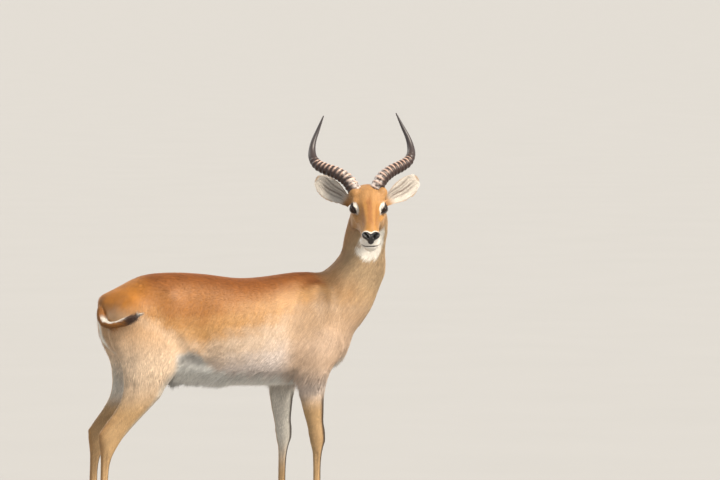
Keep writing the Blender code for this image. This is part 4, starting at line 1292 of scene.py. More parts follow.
def coat_tree():
    """Nodes that lay locks on a skin: spread over it, turned to its lie, lifted, sized and joined."""
    tree = bpy.data.node_groups.new("coat of locks", "GeometryNodeTree")
    sockets = (("Skin", "Geometry"), ("Lock", "Object"), ("Hair", "Material"), ("Cover", "String"),
               ("Locks per square metre", "Float"), ("Least spacing", "Float"), ("Unruliness", "Float"),
               ("Smoothness", "Float"), ("Seed", "Int"))
    for name, kind in sockets:
        tree.interface.new_socket(name, in_out="INPUT", socket_type="NodeSocket" + kind)
    tree.interface.new_socket("Coat", in_out="OUTPUT", socket_type="NodeSocketGeometry")
    given = add(tree, "NodeGroupInput").outputs
    cover = add(tree, "GeometryNodeInputNamedAttribute", {"Name": given["Cover"]}, data_type="FLOAT")
    spread = add(tree, "GeometryNodeDistributePointsOnFaces", {
        "Mesh": given["Skin"], "Distance Min": given["Least spacing"],
        "Density Max": given["Locks per square metre"], "Density Factor": cover.outputs["Attribute"],
        "Seed": given["Seed"]}, distribute_method="POISSON")
    lie = add(tree, "GeometryNodeInputNamedAttribute", {"Name": "lie"}, data_type="FLOAT_VECTOR")
    along = add(tree, "FunctionNodeAlignRotationToVector", {
        "Rotation": spread.outputs["Rotation"],
        "Vector": lie.outputs["Attribute"]}, axis="X", pivot_axis="Z")
    size = add(tree, "GeometryNodeInputNamedAttribute", {"Name": "lock_size"}, data_type="FLOAT_VECTOR")
    sizes = add(tree, "ShaderNodeSeparateXYZ", {"Vector": size.outputs["Attribute"]}).outputs
    stray = add(tree, "FunctionNodeRandomValue", {
        "Min": (-1, -1, -1), "Max": (1, 1, 1), "Seed": given["Seed"]}, data_type="FLOAT_VECTOR")
    strays = add(tree, "ShaderNodeSeparateXYZ", {"Vector": stray.outputs["Value"]}).outputs
    yaw = add(tree, "ShaderNodeMath", {0: strays["X"], 1: given["Unruliness"]}, operation="MULTIPLY")
    looser = add(tree, "ShaderNodeMath", {0: strays["Y"], 1: 0.45, 2: 1.0}, operation="MULTIPLY_ADD")
    lift = add(tree, "ShaderNodeMath", {0: sizes["Z"], 1: looser.outputs[0]}, operation="MULTIPLY")
    down = add(tree, "ShaderNodeMath", {0: lift.outputs[0], 1: -1.0}, operation="MULTIPLY")
    turn = add(tree, "ShaderNodeCombineXYZ", {"Y": down.outputs[0], "Z": yaw.outputs[0]})
    turned = add(tree, "FunctionNodeEulerToRotation", {"Euler": turn.outputs["Vector"]})
    laid = add(tree, "FunctionNodeRotateRotation", {
        "Rotation": along.outputs["Rotation"],
        "Rotate By": turned.outputs["Rotation"]}, rotation_space="LOCAL")
    longer = add(tree, "ShaderNodeMath", {0: strays["Z"], 1: 0.28, 2: 1.0}, operation="MULTIPLY_ADD")
    length = add(tree, "ShaderNodeMath", {0: sizes["X"], 1: longer.outputs[0]}, operation="MULTIPLY")
    scale = add(tree, "ShaderNodeCombineXYZ", {"X": length.outputs[0], "Y": sizes["Y"], "Z": sizes["Y"]})
    shape = add(tree, "GeometryNodeObjectInfo", {"Object": given["Lock"]})
    rooted = add(tree, "GeometryNodeStoreNamedAttribute", {
        "Geometry": spread.outputs["Points"], "Name": "root",
        "Value": add(tree, "GeometryNodeInputPosition").outputs["Position"]}, data_type="FLOAT_VECTOR")
    placed_locks = add(tree, "GeometryNodeInstanceOnPoints", {
        "Points": rooted.outputs["Geometry"], "Instance": shape.outputs["Geometry"],
        "Rotation": laid.outputs["Rotation"], "Scale": scale.outputs["Vector"]})
    real = add(tree, "GeometryNodeRealizeInstances", {"Geometry": placed_locks.outputs["Instances"]})
    draped = draped_over(tree, real.outputs["Geometry"], given["Skin"], given["Smoothness"])
    dressed = add(tree, "GeometryNodeSetMaterial", {"Geometry": draped, "Material": given["Hair"]})
    add(tree, "NodeGroupOutput", {"Coat": dressed.outputs["Geometry"]})
    return tree


def draped_over(tree, locks, skin_geometry, smoothness):
    """Lifts locks that dive under the skin where it curves up, and turns their shading towards its own."""
    here = add(tree, "GeometryNodeInputPosition").outputs["Position"]
    root, way_out = (add(tree, "GeometryNodeInputNamedAttribute", {"Name": name}, data_type="FLOAT_VECTOR")
                     .outputs["Attribute"] for name in ("root", "way_out"))
    nearest = add(tree, "GeometryNodeProximity", {"Geometry": skin_geometry}).outputs["Position"]
    sampled = add(tree, "GeometryNodeSampleNearestSurface", {"Mesh": skin_geometry, "Value": way_out},
                  data_type="FLOAT_VECTOR")
    local_out = add(tree, "ShaderNodeVectorMath", {
        0: sampled.outputs["Value"]}, operation="NORMALIZE").outputs[0]

    def height(start, along):
        run = add(tree, "ShaderNodeVectorMath", {0: here, 1: start}, operation="SUBTRACT").outputs[0]
        rise = add(tree, "ShaderNodeVectorMath", {0: run, 1: along}, operation="DOT_PRODUCT")
        return rise.outputs["Value"]

    short = add(tree, "ShaderNodeMath", {
        0: height(root, way_out), 1: height(nearest, local_out)}, operation="SUBTRACT")
    alike = add(tree, "ShaderNodeVectorMath", {0: local_out, 1: way_out}, operation="DOT_PRODUCT")
    same_side = add(tree, "ShaderNodeMath", {0: alike.outputs["Value"], 1: -0.5}, operation="GREATER_THAN")
    dive = add(tree, "ShaderNodeMath", {0: short.outputs[0], 1: 0.0}, operation="MAXIMUM")
    push = add(tree, "ShaderNodeMath", {0: dive.outputs[0], 1: same_side.outputs[0]}, operation="MULTIPLY")
    offset = add(tree, "ShaderNodeVectorMath", {0: local_out, "Scale": push.outputs[0]}, operation="SCALE")
    lifted = add(tree, "GeometryNodeSetPosition", {"Geometry": locks, "Offset": offset.outputs[0]})
    own = add(tree, "GeometryNodeInputNormal").outputs["Normal"]
    mixed = add(tree, "ShaderNodeMix", {0: smoothness, 4: own, 5: way_out}, data_type="VECTOR")
    shaded = add(tree, "GeometryNodeSetMeshNormal", {
        "Mesh": lifted.outputs["Geometry"], "Custom Normal": mixed.outputs[1]}, mode="FREE", domain="POINT")
    return shaded.outputs["Mesh"]


def on_line(line, share):
    """Points at shares of a polyline's length."""
    line = np.asarray(line, float)[:, :3]
    run = np.concatenate([[0.0], np.cumsum(np.linalg.norm(np.diff(line, axis=0), axis=1))])
    return np.column_stack([np.interp(share * run[-1], run, line[:, k]) for k in range(3)])


def unwrapped(points, lines):
    """Where points lie on an unwrap of the skin: round and along the nearest of a piece's lines."""
    found = [along_path(points, line) for line in lines]
    nearest = np.argmin([away for away, _, _ in found], axis=0)
    spots = np.zeros((len(points), 2))
    for k, (line, (_, share, heading)) in enumerate(zip(lines, found)):
        out = points - on_line(line, share)
        across = np.cross(heading, (0.0, 1.0, 0.02))
        across /= np.maximum(np.linalg.norm(across, axis=1), 1e-6)[:, None]
        over = np.cross(across, heading)
        angle = np.arctan2(np.sum(out * over, axis=1), np.sum(out * across, axis=1))
        mine = nearest == k
        spots[mine, 0] = ((k + 0.5 + angle / math.tau) / len(lines))[mine]
        spots[mine, 1] = share[mine]
    return 0.01 + 0.97 * spots


def socket_ids(tree):
    """The identifier of each named input of a tree."""
    return {item.name: item.identifier for item in tree.interface.items_tree
            if item.item_type == "SOCKET" and item.in_out == "INPUT"}


def coat_piece(name, skin_mesh, tree, inputs, lines):
    """Lays one piece of the coat, and gives each lock its colours and its patch of the unwrap."""
    piece = bpy.data.objects.new(name, skin_mesh)
    bpy.context.scene.collection.objects.link(piece)
    lay = piece.modifiers.new("coat", "NODES")
    lay.node_group = tree
    ids = socket_ids(tree)
    for key, value in inputs.items():
        lay[ids[key]] = value
    settled(piece)
    coloured_and_unwrapped(piece, lines, inputs["Seed"])
    return piece


def coloured_and_unwrapped(piece, lines, seed):
    """Gives each lock one colour, darker at its root, and its patch of the unwrap."""
    mesh = piece.data
    count = len(mesh.vertices) // len(LOCK)
    roots = places(piece)[::len(LOCK)]
    normals = vectors(mesh.attributes["way_out"].data, "vector")[::len(LOCK)]
    forget_skin_values(mesh)
    draw = np.random.default_rng(seed)
    colour = markings(Ground(roots, normals))
    pale_below = ramp(colour.mean(axis=1), 0.45, 0.65) * (roots[:, 2] < 70)
    uneven = UNEVEN + PALE_UNEVEN * pale_below[:, None]
    colour *= 1 + uneven * draw.normal(0.0, 1.0, (count, 1)).clip(-2, 2)
    shaded = np.clip(colour[:, None, :] * np.array(LOCK_SHADE)[None, :, None], 0, 1)
    keep_colour(piece, "coat_colour", shaded.reshape(-1, 3))
    spots = unwrapped(roots, lines)
    patch = np.array(LOCK_PATCH, float).reshape(-1, 2) * PATCH_SIZE
    uv = mesh.uv_layers.get("OFBake") or mesh.uv_layers.new(name="OFBake")
    uv.data.foreach_set("uv", (spots[:, None, :] + patch[None]).astype(np.float32).ravel())
    mesh.shade_smooth()


SKIN_ONLY = ("way_out", "lie", "lock_size", "cover_", "root")  # how their names begin


def forget_skin_values(mesh):
    """Removes the attributes that only laying the coat needs."""
    names = [layer.name for layer in mesh.attributes]
    for name in names:
        if name.startswith(SKIN_ONLY):
            mesh.attributes.remove(mesh.attributes[name])


def lock_sizes(g):
    """Length, width and lift of the locks at each point, listed in cm and radians, given in metres."""
    belly = ramp(g.z, 61.0, 56.5) * (1 - g.on_fore) * (1 - g.on_hind) * ramp(g.x, 47.0, 40.0)
    groin = ramp(g.z, 70.0, 62.0) * ramp(np.abs(g.x + 5.0), 9.0, 4.0) * ramp(np.abs(g.y), 11.0, 8.0)
    brisket = ramp(g.x, 36.0, 43.0) * ramp(g.z, 68.0, 60.0) * ramp(np.abs(g.y), 7.0, 4.0)
    buttock = ramp(g.x, -31.0, -34.0) * ramp(g.z, 84.0, 78.0) * ramp(g.z, 52.0, 58.0)
    throat = g.on_neck * ramp(g.z, 88.0, 96.0)
    leg = np.maximum(g.on_fore, g.on_hind) * ramp(g.z, 52.0, 34.0)
    muzzle = ramp(g.head[:, 0], 2.0, 12.0)
    ear_rim = np.maximum(ramp(g.ear_edge, 0.78, 0.90), ramp(g.ear_share, 0.88, 0.95))
    rows = [
        (g.x, (1.8, 0.17, 0.065)),
        (throat, (2.1, 0.17, 0.10)),
        (np.maximum(belly, groin), (4.4, 0.20, 0.54)),
        (brisket, (3.0, 0.16, 0.36)),
        (buttock, (2.4, 0.16, 0.20)),
        (leg, (1.0, 0.12, 0.08)),
        (leg * ramp(g.z, 12.0, 7.0), (0.8, 0.10, 0.14)),
        (g.on_head * g.past_poll, (0.95, 0.11, 0.08)),
        (g.on_head * muzzle, (0.5, 0.08, 0.08)),
        (g.on_tail, (1.5, 0.15, 0.14)),
        (g.on_tail * ramp(g.tail_share, 0.66, 0.78), (3.6, 0.09, 0.20)),
        (g.on_ear, (0.9, 0.10, 0.06)),
        (g.on_ear * g.ear_inside, (1.3, 0.10, 0.18)),
        (g.on_ear * ear_rim, (0.55, 0.08, 0.12)),
    ]
    return blended(rows) * (CM, CM, 1.0)


def coat_regions(g):
    """Which piece of the coat grows at each point, as covers that add up to one but where it is bare."""
    left = ramp(g.y, -0.3, 0.3)
    bare = np.zeros(len(g.x))
    for side in (-1, 1):
        local = seen_from_eye(g.head, side)
        bare = np.maximum(bare, ramp(opening(local[:, 0], local[:, 1]), 1.30, 1.16) * (local[:, 2] > -0.5))
    bare = np.maximum(bare, ramp(to_pad(g.head), 1.05, 1.0))
    mouth = ramp(np.abs(over_mouth(g.head) - 0.10), 0.42, 0.30) * ramp(g.head[:, 0], 8.5, 10.0)
    bare = np.maximum(bare, mouth * (g.on_head > 0.5))
    bare = np.maximum(bare, ramp(g.z, 6.1, 5.6))
    shares = {
        # of what the earlier ones leave
        "ears": g.on_ear,
        "tail": g.on_tail,
        "head": g.on_head,
        "neck": g.on_neck,
        "forelegs": g.on_fore,
        "hindlegs": ramp(g.z, 54.0, 51.0) * (g.x < -2),
        "haunch": ramp(g.x, -7.0, -9.0),
        "shoulders": ramp(g.x, 23.0, 25.0),
        "belly": ramp(g.z, 60.5, 59.0),
    }
    rest = 1 - bare
    regions = {}
    for name, share in shares.items():
        regions[name] = rest * share
        rest = rest * (1 - share)
    regions["flanks"] = rest
    for name in ("haunch", "flanks", "shoulders"):
        share = regions.pop(name)
        regions[name + "_left"], regions[name + "_right"] = share * left, share * (1 - left)
    return regions


BODY_LINE = [(-37, 0, 79), (-20, 0, 76), (20, 0, 73), (56, 0, 74)]
FIRST_SEED = 11
LOCKS_TRIED = 2.2  # for each lock wanted, since many fall too near another and are dropped
LEAST_SPACING = 0.62  # between roots, as a share of the mean one
# Painted shade: the skin between the locks is the hair's colour darkened by this share, as the shade under
# the coat.
HIDE_PAINTED_SHADE = 0.86  # of the skin between the locks, beside their own colour


def lay_coat(skin_obj, hair):
    """Every piece of the coat, laid over the finished skin."""
    g = Ground(places(skin_obj), outward(skin_obj))
    lie = lie_of(g)
    lie /= np.maximum(np.linalg.norm(lie, axis=1), 1e-6)[:, None]
    keep(skin_obj, "lie", lie, "FLOAT_VECTOR")
    keep(skin_obj, "lock_size", lock_sizes(g), "FLOAT_VECTOR")
    keep(skin_obj, "way_out", g.normals, "FLOAT_VECTOR")
    for name, share in coat_regions(g).items():
        keep(skin_obj, "cover_" + name, share)
    # the skin under the coat, darkened as painted shade
    keep_colour(skin_obj, "coat_colour", markings(g) * HIDE_PAINTED_SHADE)
    head_line = brought_from([(-10, 0, -2), (5, 0, -3), (17, 0, -4)], head_frame())
    ear_lines = [brought_from(ear_axes(side)[:2], level_frame()) for side in (-1, 1)]
    fore_lines = [[(x, y, 56), (x, y, 4)] for x, y in ((32, 8.6), (41, -8.6))]
    hind_lines = [[(-24, side * 8.4, 54), (-36, side * 8, 36), (-36, side * 8, 4)] for side in (1, -1)]
    haunch_lines = [[(-20, side * 3, 92), (-22, side * 8, 50)] for side in (1, -1)]
    pieces = [
        # name, locks per square metre, unruliness in radians, how far the locks are shaded as the skin
        # below them and not as themselves, lines it is unwrapped round
        ("head", 200000, 0.16, 0.75, [head_line]),
        ("ears", 200000, 0.18, 0.35, ear_lines),
        ("neck", 92000, 0.14, 0.78, [NECK_LINE]),
        ("shoulders_left", 84000, 0.13, 0.78, [BODY_LINE]),
        ("shoulders_right", 84000, 0.13, 0.78, [BODY_LINE]),
        ("flanks_left", 84000, 0.13, 0.78, [BODY_LINE]),
        ("flanks_right", 84000, 0.13, 0.78, [BODY_LINE]),
        ("belly", 105000, 0.46, 0.48, [BODY_LINE]),
        ("haunch_left", 84000, 0.13, 0.78, haunch_lines),
        ("haunch_right", 84000, 0.13, 0.78, haunch_lines),
        ("forelegs", 130000, 0.14, 0.78, fore_lines),
        ("hindlegs", 130000, 0.14, 0.78, hind_lines),
        ("tail", 170000, 0.25, 0.50, [TAIL_PATH]),
    ]
    tree, lock = coat_tree(), lock_shape()
    made = []
    for seed, (name, density, unruly, smooth, lines) in enumerate(pieces, FIRST_SEED):
        inputs = {
            "Lock": lock, "Hair": hair, "Cover": "cover_" + name, "Seed": seed,
            "Locks per square metre": LOCKS_TRIED * density,
            "Least spacing": LEAST_SPACING / math.sqrt(density),
            "Unruliness": unruly, "Smoothness": smooth,
        }
        made.append(coat_piece("coat_" + name, skin_obj.data, tree, inputs, lines))
    bpy.data.objects.remove(lock)
    forget_skin_values(skin_obj.data)
    return made


# ---------------------------------------------------------------- horns, hooves, nose and eyes
RING_SHARE = 0.60  # share of the horn's length that carries rings
RING_HEIGHT = 0.18
HORN_SIDES = 56
HORN_STEPS = 300
RING_WANDER = 0.30  # radians that a ring strays from its even place
TO_WORN_AND_LIT_SIDE = (0.35, -0.45, 0.82)  # out of the left horn, towards the light: the side worn pale and painted pale as a highlight


def finished(piece, material):
    """Gives a piece its material and smooth shading."""
    piece.data.materials.append(material)
    piece.data.shade_smooth()
    return piece


def horn(name, side, material):
    """A lyre-shaped horn: each ring a blunt ridge, strongest in front, over lengthwise grain."""
    rows = evenly(HORN_PATH, HORN_STEPS)
    along = np.linspace(0, 1, len(rows))
    fade = np.clip((RING_SHARE - along) / 0.12, 0, 1) * np.clip(along / 0.05, 0, 1)
    rows[:, 0] *= -1
    rows[:, 1] *= side
    draw = np.random.default_rng(7 + side)
    slack = RING_WANDER * np.interp(along, np.linspace(0, 1, 30), draw.normal(0, 1, 30))
    to_sky = np.array(TO_WORN_AND_LIT_SIDE) * (1, side, 1)
    rings, crests, worn = [], [], []
    for k, (row, run) in enumerate(zip(rows, np.gradient(rows[:, :3], axis=0))):
        run = Vector(run).normalized()
        up = Vector((1, 0, 0.2))
        up = (up - run * up.dot(run)).normalized()
        across = run.cross(up)
        ring = []
        for c, s in around(HORN_SIDES):
            phase = math.tau * HORN_RINGS * along[k] / RING_SHARE + slack[k] + 0.75 * s + 0.4 * c
            crest = (0.5 + 0.5 * math.cos(phase)) ** 1.5
            grain = 0.012 * math.sin(23 * math.atan2(s, c) + 9 * along[k])
            fine = 0.010 * math.sin(phase * 5.0)
            stand = RING_HEIGHT * fade[k] * (2 * crest - 1) * (0.66 + 0.34 * s)
            radius = row[3] + stand + (grain + fine) * min(1.0, row[3])
            way = across * c + up * s
            ring.append(Vector(row[:3]) + way * radius)
            crests.append(crest * fade[k])
            # how far each point faces the pale side, pale from wear and as painted highlight
            worn.append(min(max(1.3 * float(way.dot(to_sky)) - 0.15, 0.0), 1.0))
        rings.append(ring)
    made = loft(name, rings)
    keep(made, "crest", np.array(crests))
    keep(made, "worn", np.array(worn))
    keep(made, "along", np.repeat(along, HORN_SIDES))
    lean = Matrix.Rotation(math.radians(HORN_LEAN), 4, "X")
    made.data.transform(Matrix.Translation((0, HORN_SHIFT * CM, 0)) @ lean)
    return finished(placed([made], level_frame())[0], material)


CLAW_LENGTH = 6.6
CLAW_WIDTH = 2.15
CLAW_SIDES = 40
CLEFT = 0.35  # between the two claws of a foot
CLAW_ROWS = [
    # height, length, set back, width, as shares of the claw's own
    (0.0, 0.97, 0.015, 0.95),
    (0.12, 1.0, 0.0, 1.02),
    (0.5, 0.98, 0.02, 1.04),
    (1.4, 0.905, 0.035, 1.04),
    (2.4, 0.82, 0.05, 1.02),
    (3.4, 0.74, 0.063, 0.98),
    (4.4, 0.66, 0.075, 0.94),
    (5.2, 0.60, 0.085, 0.90),
]


def claw(heel_x, y, outward_side):
    """Half a cloven hoof: flat sole with a rounded rim, growth rings, and a toe that comes to a point."""
    rings = []
    for height, length, back, width in spline(CLAW_ROWS, CLAW_SIDES):
        height = max(height, 0.0)
        growth = 1 + 0.008 * math.sin(height * 9.0) * min(height, 1.0)
        ring = []
        for c, s in around(CLAW_SIDES):
            narrow = 1 - 0.42 * max(c, 0) ** 1.5
            x = heel_x + CLAW_LENGTH * (back + length * growth * (0.5 + 0.5 * c))
            lean = 0.5 * s * narrow * width * growth + 0.16 * c * c
            ring.append((x, y + outward_side * CLAW_WIDTH * lean, height))
        rings.append(ring)
    return loft("claw", rings)


def hooves(name, heel_x, mid_y, side, material):
    """Both claws and both dewclaws of one foot."""
    made = []
    for outward_side in (side, -side):
        y = mid_y + outward_side * (CLAW_WIDTH + CLEFT) / 2
        made.append(claw(heel_x, y, outward_side))
        behind = (heel_x - 0.5, y + outward_side * 0.5, 8.6)
        made.append(egg("dewclaw", behind, (0.85, 0.7, 1.15), (0, -24, 0)))
    foot = finished(joined(name, made), material)
    foot.data.set_sharp_from_angle(angle=math.radians(50))
    return foot


PAD_VOXEL, PAD_ROUNDS = 0.065, 12  # cm, and rounds of smoothing
NOSTRIL = [(17.6, 0.95, -1.75), (17.4, 1.45, -0.85), (16.8, 2.15, -0.75), (16.2, 2.65, -1.45)]


def nose_pad(material):
    """The bare heart of the nose: two lobes, a cleft between them, and a comma-shaped nostril in each."""
    lobes = [egg("lobe", at, radii, (turn, 0, 0), segments=24) for at, radii, turn in PAD_MASSES]
    pad = fused(joined("nose_pad", lobes), PAD_VOXEL, PAD_ROUNDS)
    points, normals = places(pad), outward(pad)
    cleft = raised(points, [(0.13, -0.16, (17.9, 0, -1.0), (17.8, 0, -2.4), (17.2, 0, -4.4))])
    pebbles = 0.012 * np.sin(points[:, 1] * 24 + np.sin(points[:, 2] * 17)) * np.sin(points[:, 2] * 22)
    points += normals * (cleft + pebbles)[:, None]
    depth = np.zeros(len(points))
    for side in (-1, 1):
        away, share, _ = along_path(points, [(x, side * y, z) for x, y, z in NOSTRIL])
        hole = np.exp(-(away / (0.30 + 0.16 * np.sin(math.pi * share))) ** 4)
        points += hole[:, None] * np.array([-0.95, -0.10 * side, 0.10])
        depth = np.maximum(depth, hole)
        rim = 0.07 * np.exp(-((away - 0.62) / 0.18) ** 2)
        points += normals * rim[:, None]
    put(pad, points)
    # how deep into a nostril each point lies, by which the leather darkens as painted shade
    keep(pad, "depth", depth)
    return finished(placed([pad], head_frame())[0], material)


PUPIL = (0.62, 0.26)  # half width and half height of the lying pupil, in cm
IRIS = 1.02  # radius
CORNEA_BULGE = 0.055
IRIS_RAYS = 46


def eyeball(name, side, material):
    """A wet dark eye with a bulging cornea and the lying pupil of a grazing animal."""
    bm = bmesh.new()
    bmesh.ops.create_uvsphere(bm, u_segments=96, v_segments=96, radius=1.0)
    ball = mesh_object(name, bm)
    local = places(ball) * CM
    from_sight = np.arccos(np.clip(local[:, 2], -1, 1))
    bulge = 1 + CORNEA_BULGE * ramp(from_sight, 0.85, 0.25)
    local *= EYE_RADIUS * bulge[:, None]
    flat = np.hypot(local[:, 0], local[:, 1])
    pupil = np.hypot(local[:, 0] / PUPIL[0], local[:, 1] / PUPIL[1])
    rays = 1 + 0.25 * np.sin(np.arctan2(local[:, 1], local[:, 0]) * IRIS_RAYS)
    iris = linear("2c190e")[None, :] * rays[:, None]
    dark = linear("0c0806")
    colour = blended([
        (flat, linear("2a1a12")),
        (ramp(flat, IRIS + 0.10, IRIS), dark),
    ])
    move(colour, ramp(flat, IRIS, IRIS - 0.12), iris)
    move(colour, ramp(pupil, 1.12, 0.96), dark * 0.5)
    keep_colour(ball, "eye_colour", np.clip(colour, 0, 1))
    if side < 0:
        ball.data.flip_normals()
    put(ball, out_of_eye(local, side))
    return finished(placed([ball], head_frame())[0], material)


RIM_RADIUS = 0.105
LASHES = 46  # on each upper lid
EDGE_STEPS = 120  # round the opening between the lids


def eye_rims(name, material):
    """The bare margins of the lids, and the lashes along the upper ones."""
    made = []
    for side in (-1, 1):
        ahead, up = lid_edge(EDGE_STEPS)
        out = np.sqrt(np.maximum((EYE_RADIUS + 0.05) ** 2 - ahead ** 2 - up ** 2, 0.05))
        spine = out_of_eye(np.column_stack([ahead, up, out]), side)
        made.append(closed_tube("rim", spine, RIM_RADIUS, 10))
        draw = np.random.default_rng(31 + side)
        for share in np.linspace(0.04, 0.44, LASHES):
            k = int(share * EDGE_STEPS)
            root = np.array([ahead[k], up[k], out[k]])
            reach = 0.55 + 0.35 * math.sin(math.pi * share / 0.48) + 0.06 * draw.normal()
            away = np.array([0.35 * ahead[k], 0.55, 1.0]) + draw.normal(0, 0.08, 3)
            away /= np.linalg.norm(away)
            stem = [root + away * reach * t + (0, 0.22 * t * t, -0.05 * t) for t in (0, 0.35, 0.7, 1.0)]
            thickness = (0.026, 0.022, 0.014, 0.004)
            rows = np.column_stack([out_of_eye(np.array(stem), side), thickness])
            made.append(tube("lash", rows, 4))
    return finished(joined(name, placed(made, head_frame())), material)


def closed_tube(name, spine, radius, sides):
    """A ring of tube along a closed line."""
    bm = bmesh.new()
    runs = np.roll(spine, -1, axis=0) - np.roll(spine, 1, axis=0)
    middle = spine.mean(axis=0)
    rows = []
    for point, run in zip(spine, runs):
        run = Vector(run).normalized()
        out = Vector(point - middle)
        out = (out - run * out.dot(run)).normalized()
        across = run.cross(out)
        ring = [Vector(point) + (out * c + across * s) * radius for c, s in around(sides)]
        rows.append([bm.verts.new(spot * CM) for spot in ring])
    for k, row in enumerate(rows):
        after = rows[(k + 1) % len(rows)]
        for i in range(sides):
            bm.faces.new((row[i], row[(i + 1) % sides], after[(i + 1) % sides], after[i]))
    bmesh.ops.recalc_face_normals(bm, faces=bm.faces)
    return mesh_object(name, bm)


COLOUR_A, COLOUR_B, COLOUR_OUT = 6, 7, 2  # the Mix node's sockets for colours


def between(tree, factor, first, second):
    """A colour mixed from two, each a hex value or a socket."""
    values = {0: factor}
    for key, value in ((COLOUR_A, first), (COLOUR_B, second)):
        values[key] = value if isinstance(value, bpy.types.NodeSocket) else (*linear(value), 1)
    return add(tree, "ShaderNodeMix", values, data_type="RGBA").outputs[COLOUR_OUT]


def horn_material():
    """Ringed keratin: near black, its crests pale on their upper side, which faces the light, partly wear
    and partly painted highlight; dusty at the root on that side, and smooth at the tip.
    """
    made, tree, shader = new_material("ringed horn keratin", Roughness=0.42, IOR=1.55)
    crest, worn, along = (add(tree, "ShaderNodeAttribute", attribute_name=name).outputs["Fac"]
                          for name in ("crest", "worn", "along"))
    place = add(tree, "ShaderNodeTexCoord").outputs["Object"]
    noise = add(tree, "ShaderNodeTexNoise", {
        "Vector": place, "Scale": 260.0, "Detail": 5.0, "Roughness": 0.65})
    grain = noise.outputs["Fac"]
    blotch = add(tree, "ShaderNodeTexNoise", {
        "Vector": place, "Scale": 95.0, "Detail": 3.0, "Roughness": 0.6})
    rubbed = add(tree, "ShaderNodeMath", {0: grain, 1: 1.2, 2: -0.45}, operation="MULTIPLY_ADD")
    ridge = add(tree, "ShaderNodeMath", {0: crest, 1: rubbed.outputs[0]}, operation="ADD", use_clamp=True)
    line = add(tree, "ShaderNodeMapRange", {"Value": ridge.outputs[0], "From Min": 0.55, "From Max": 1.0})
    # wear and painted highlight: the crests turn pale where they face up towards the light
    pale = add(tree, "ShaderNodeMath", {0: line.outputs["Result"], 1: worn}, operation="MULTIPLY")
    near_root = add(tree, "ShaderNodeMapRange", {"Value": along, "From Min": 0.30, "From Max": 0.10})
    patchy = add(tree, "ShaderNodeMapRange", {
        "Value": blotch.outputs["Fac"], "From Min": 0.42, "From Max": 0.62})
    dusty = add(tree, "ShaderNodeMath", {
        0: near_root.outputs["Result"], 1: patchy.outputs["Result"]}, operation="MULTIPLY")
    # the dust near the root shows only on that lit side, partly as painted light
    dust = add(tree, "ShaderNodeMath", {0: dusty.outputs[0], 1: worn}, operation="MULTIPLY")
    tip = add(tree, "ShaderNodeMapRange", {"Value": along, "From Min": 0.50, "From Max": 0.8})
    shaft = between(tree, tip.outputs["Result"], "33211b", "3c3636")
    ridged = between(tree, pale.outputs[0], shaft, "cdaa96")
    paint(tree, shader, between(tree, dust.outputs[0], ridged, "c8bab2"), grain, 0.35, 0.0006)
    return made


def hoof_material():
    """Hoof keratin: near black, satin, with fine grain down the wall and dust at the sole."""
    made, tree, shader = new_material("black hoof keratin", Roughness=0.40, IOR=1.55)
    place = add(tree, "ShaderNodeTexCoord").outputs["Object"]
    stretched = add(tree, "ShaderNodeVectorMath", {
        0: place, 1: (900.0, 900.0, 60.0)}, operation="MULTIPLY")
    noise = add(tree, "ShaderNodeTexNoise", {
        "Vector": stretched.outputs["Vector"], "Scale": 1.0, "Detail": 3.0})
    grain = noise.outputs["Fac"]
    low = add(tree, "ShaderNodeSeparateXYZ", {"Vector": place})
    dust = add(tree, "ShaderNodeMapRange", {"Value": low.outputs["Z"], "From Min": 0.022, "From Max": 0.0,
                                            "To Max": 0.55})
    wall = between(tree, grain, "1d1917", "3a322c")
    paint(tree, shader, between(tree, dust.outputs["Result"], wall, "6b5a49"), grain, 0.3, 0.0004)
    return made


def nose_material():
    """Bare moist leather of the nose: black, pebbled, with a wet gloss over it."""
    made, tree, shader = new_material("moist nose leather", Roughness=0.42, IOR=1.45, Coat_Weight=0.35,
                                      Coat_Roughness=0.2)
    place = add(tree, "ShaderNodeTexCoord").outputs["Object"]
    pebbles = add(tree, "ShaderNodeTexVoronoi", {"Vector": place, "Scale": 720.0})
    depth = add(tree, "ShaderNodeAttribute", attribute_name="depth").outputs["Fac"]
    leather = between(tree, pebbles.outputs["Distance"], "1f1b1b", "100d0e")
    # Painted shade: the leather turns near black with the depth of each nostril.
    paint(tree, shader, between(tree, depth, leather, "030202"), pebbles.outputs["Distance"], -0.5, 0.0005)
    dull = add(tree, "ShaderNodeMapRange", {"Value": depth, "From Min": 0.2, "To Min": 0.42, "To Max": 1.0})
    tree.links.new(dull.outputs["Result"], shader.inputs["Roughness"])
    return made


def eye_material():
    """A glass-clear cornea over a near-black brown iris: the coat gives the wet highlight."""
    made, tree, shader = new_material("wet dark eye", Roughness=0.28, IOR=1.376, Specular_IOR_Level=0.15,
                                      Coat_Weight=0.8, Coat_Roughness=0.015, Coat_IOR=1.38)
    paint(tree, shader, add(tree, "ShaderNodeAttribute", attribute_name="eye_colour").outputs["Color"])
    return made


def rim_material():
    """The lids' bare margins: brown-black moist skin, and the lashes that grow from it."""
    made, tree, shader = new_material("bare lid skin", Roughness=0.34, IOR=1.45)
    place = add(tree, "ShaderNodeTexCoord").outputs["Object"]
    noise = add(tree, "ShaderNodeTexNoise", {"Vector": place, "Scale": 900.0, "Detail": 2.0})
    folds = noise.outputs["Fac"]
    paint(tree, shader, between(tree, folds, "17100c", "2e2019"), folds, 0.3, 0.0003)
    return made


# ---------------------------------------------------------------- floor, light and camera
VIEW_AZIMUTH = -14.0
VIEW_ELEVATION = 3.0
VIEW_TARGET = (0.3605, -0.0637, 1.055)
VIEW_WIDTH = 2.58  # metres across the picture at the animal
VIEW_DISTANCE = 20.0
SENSOR = 36.0


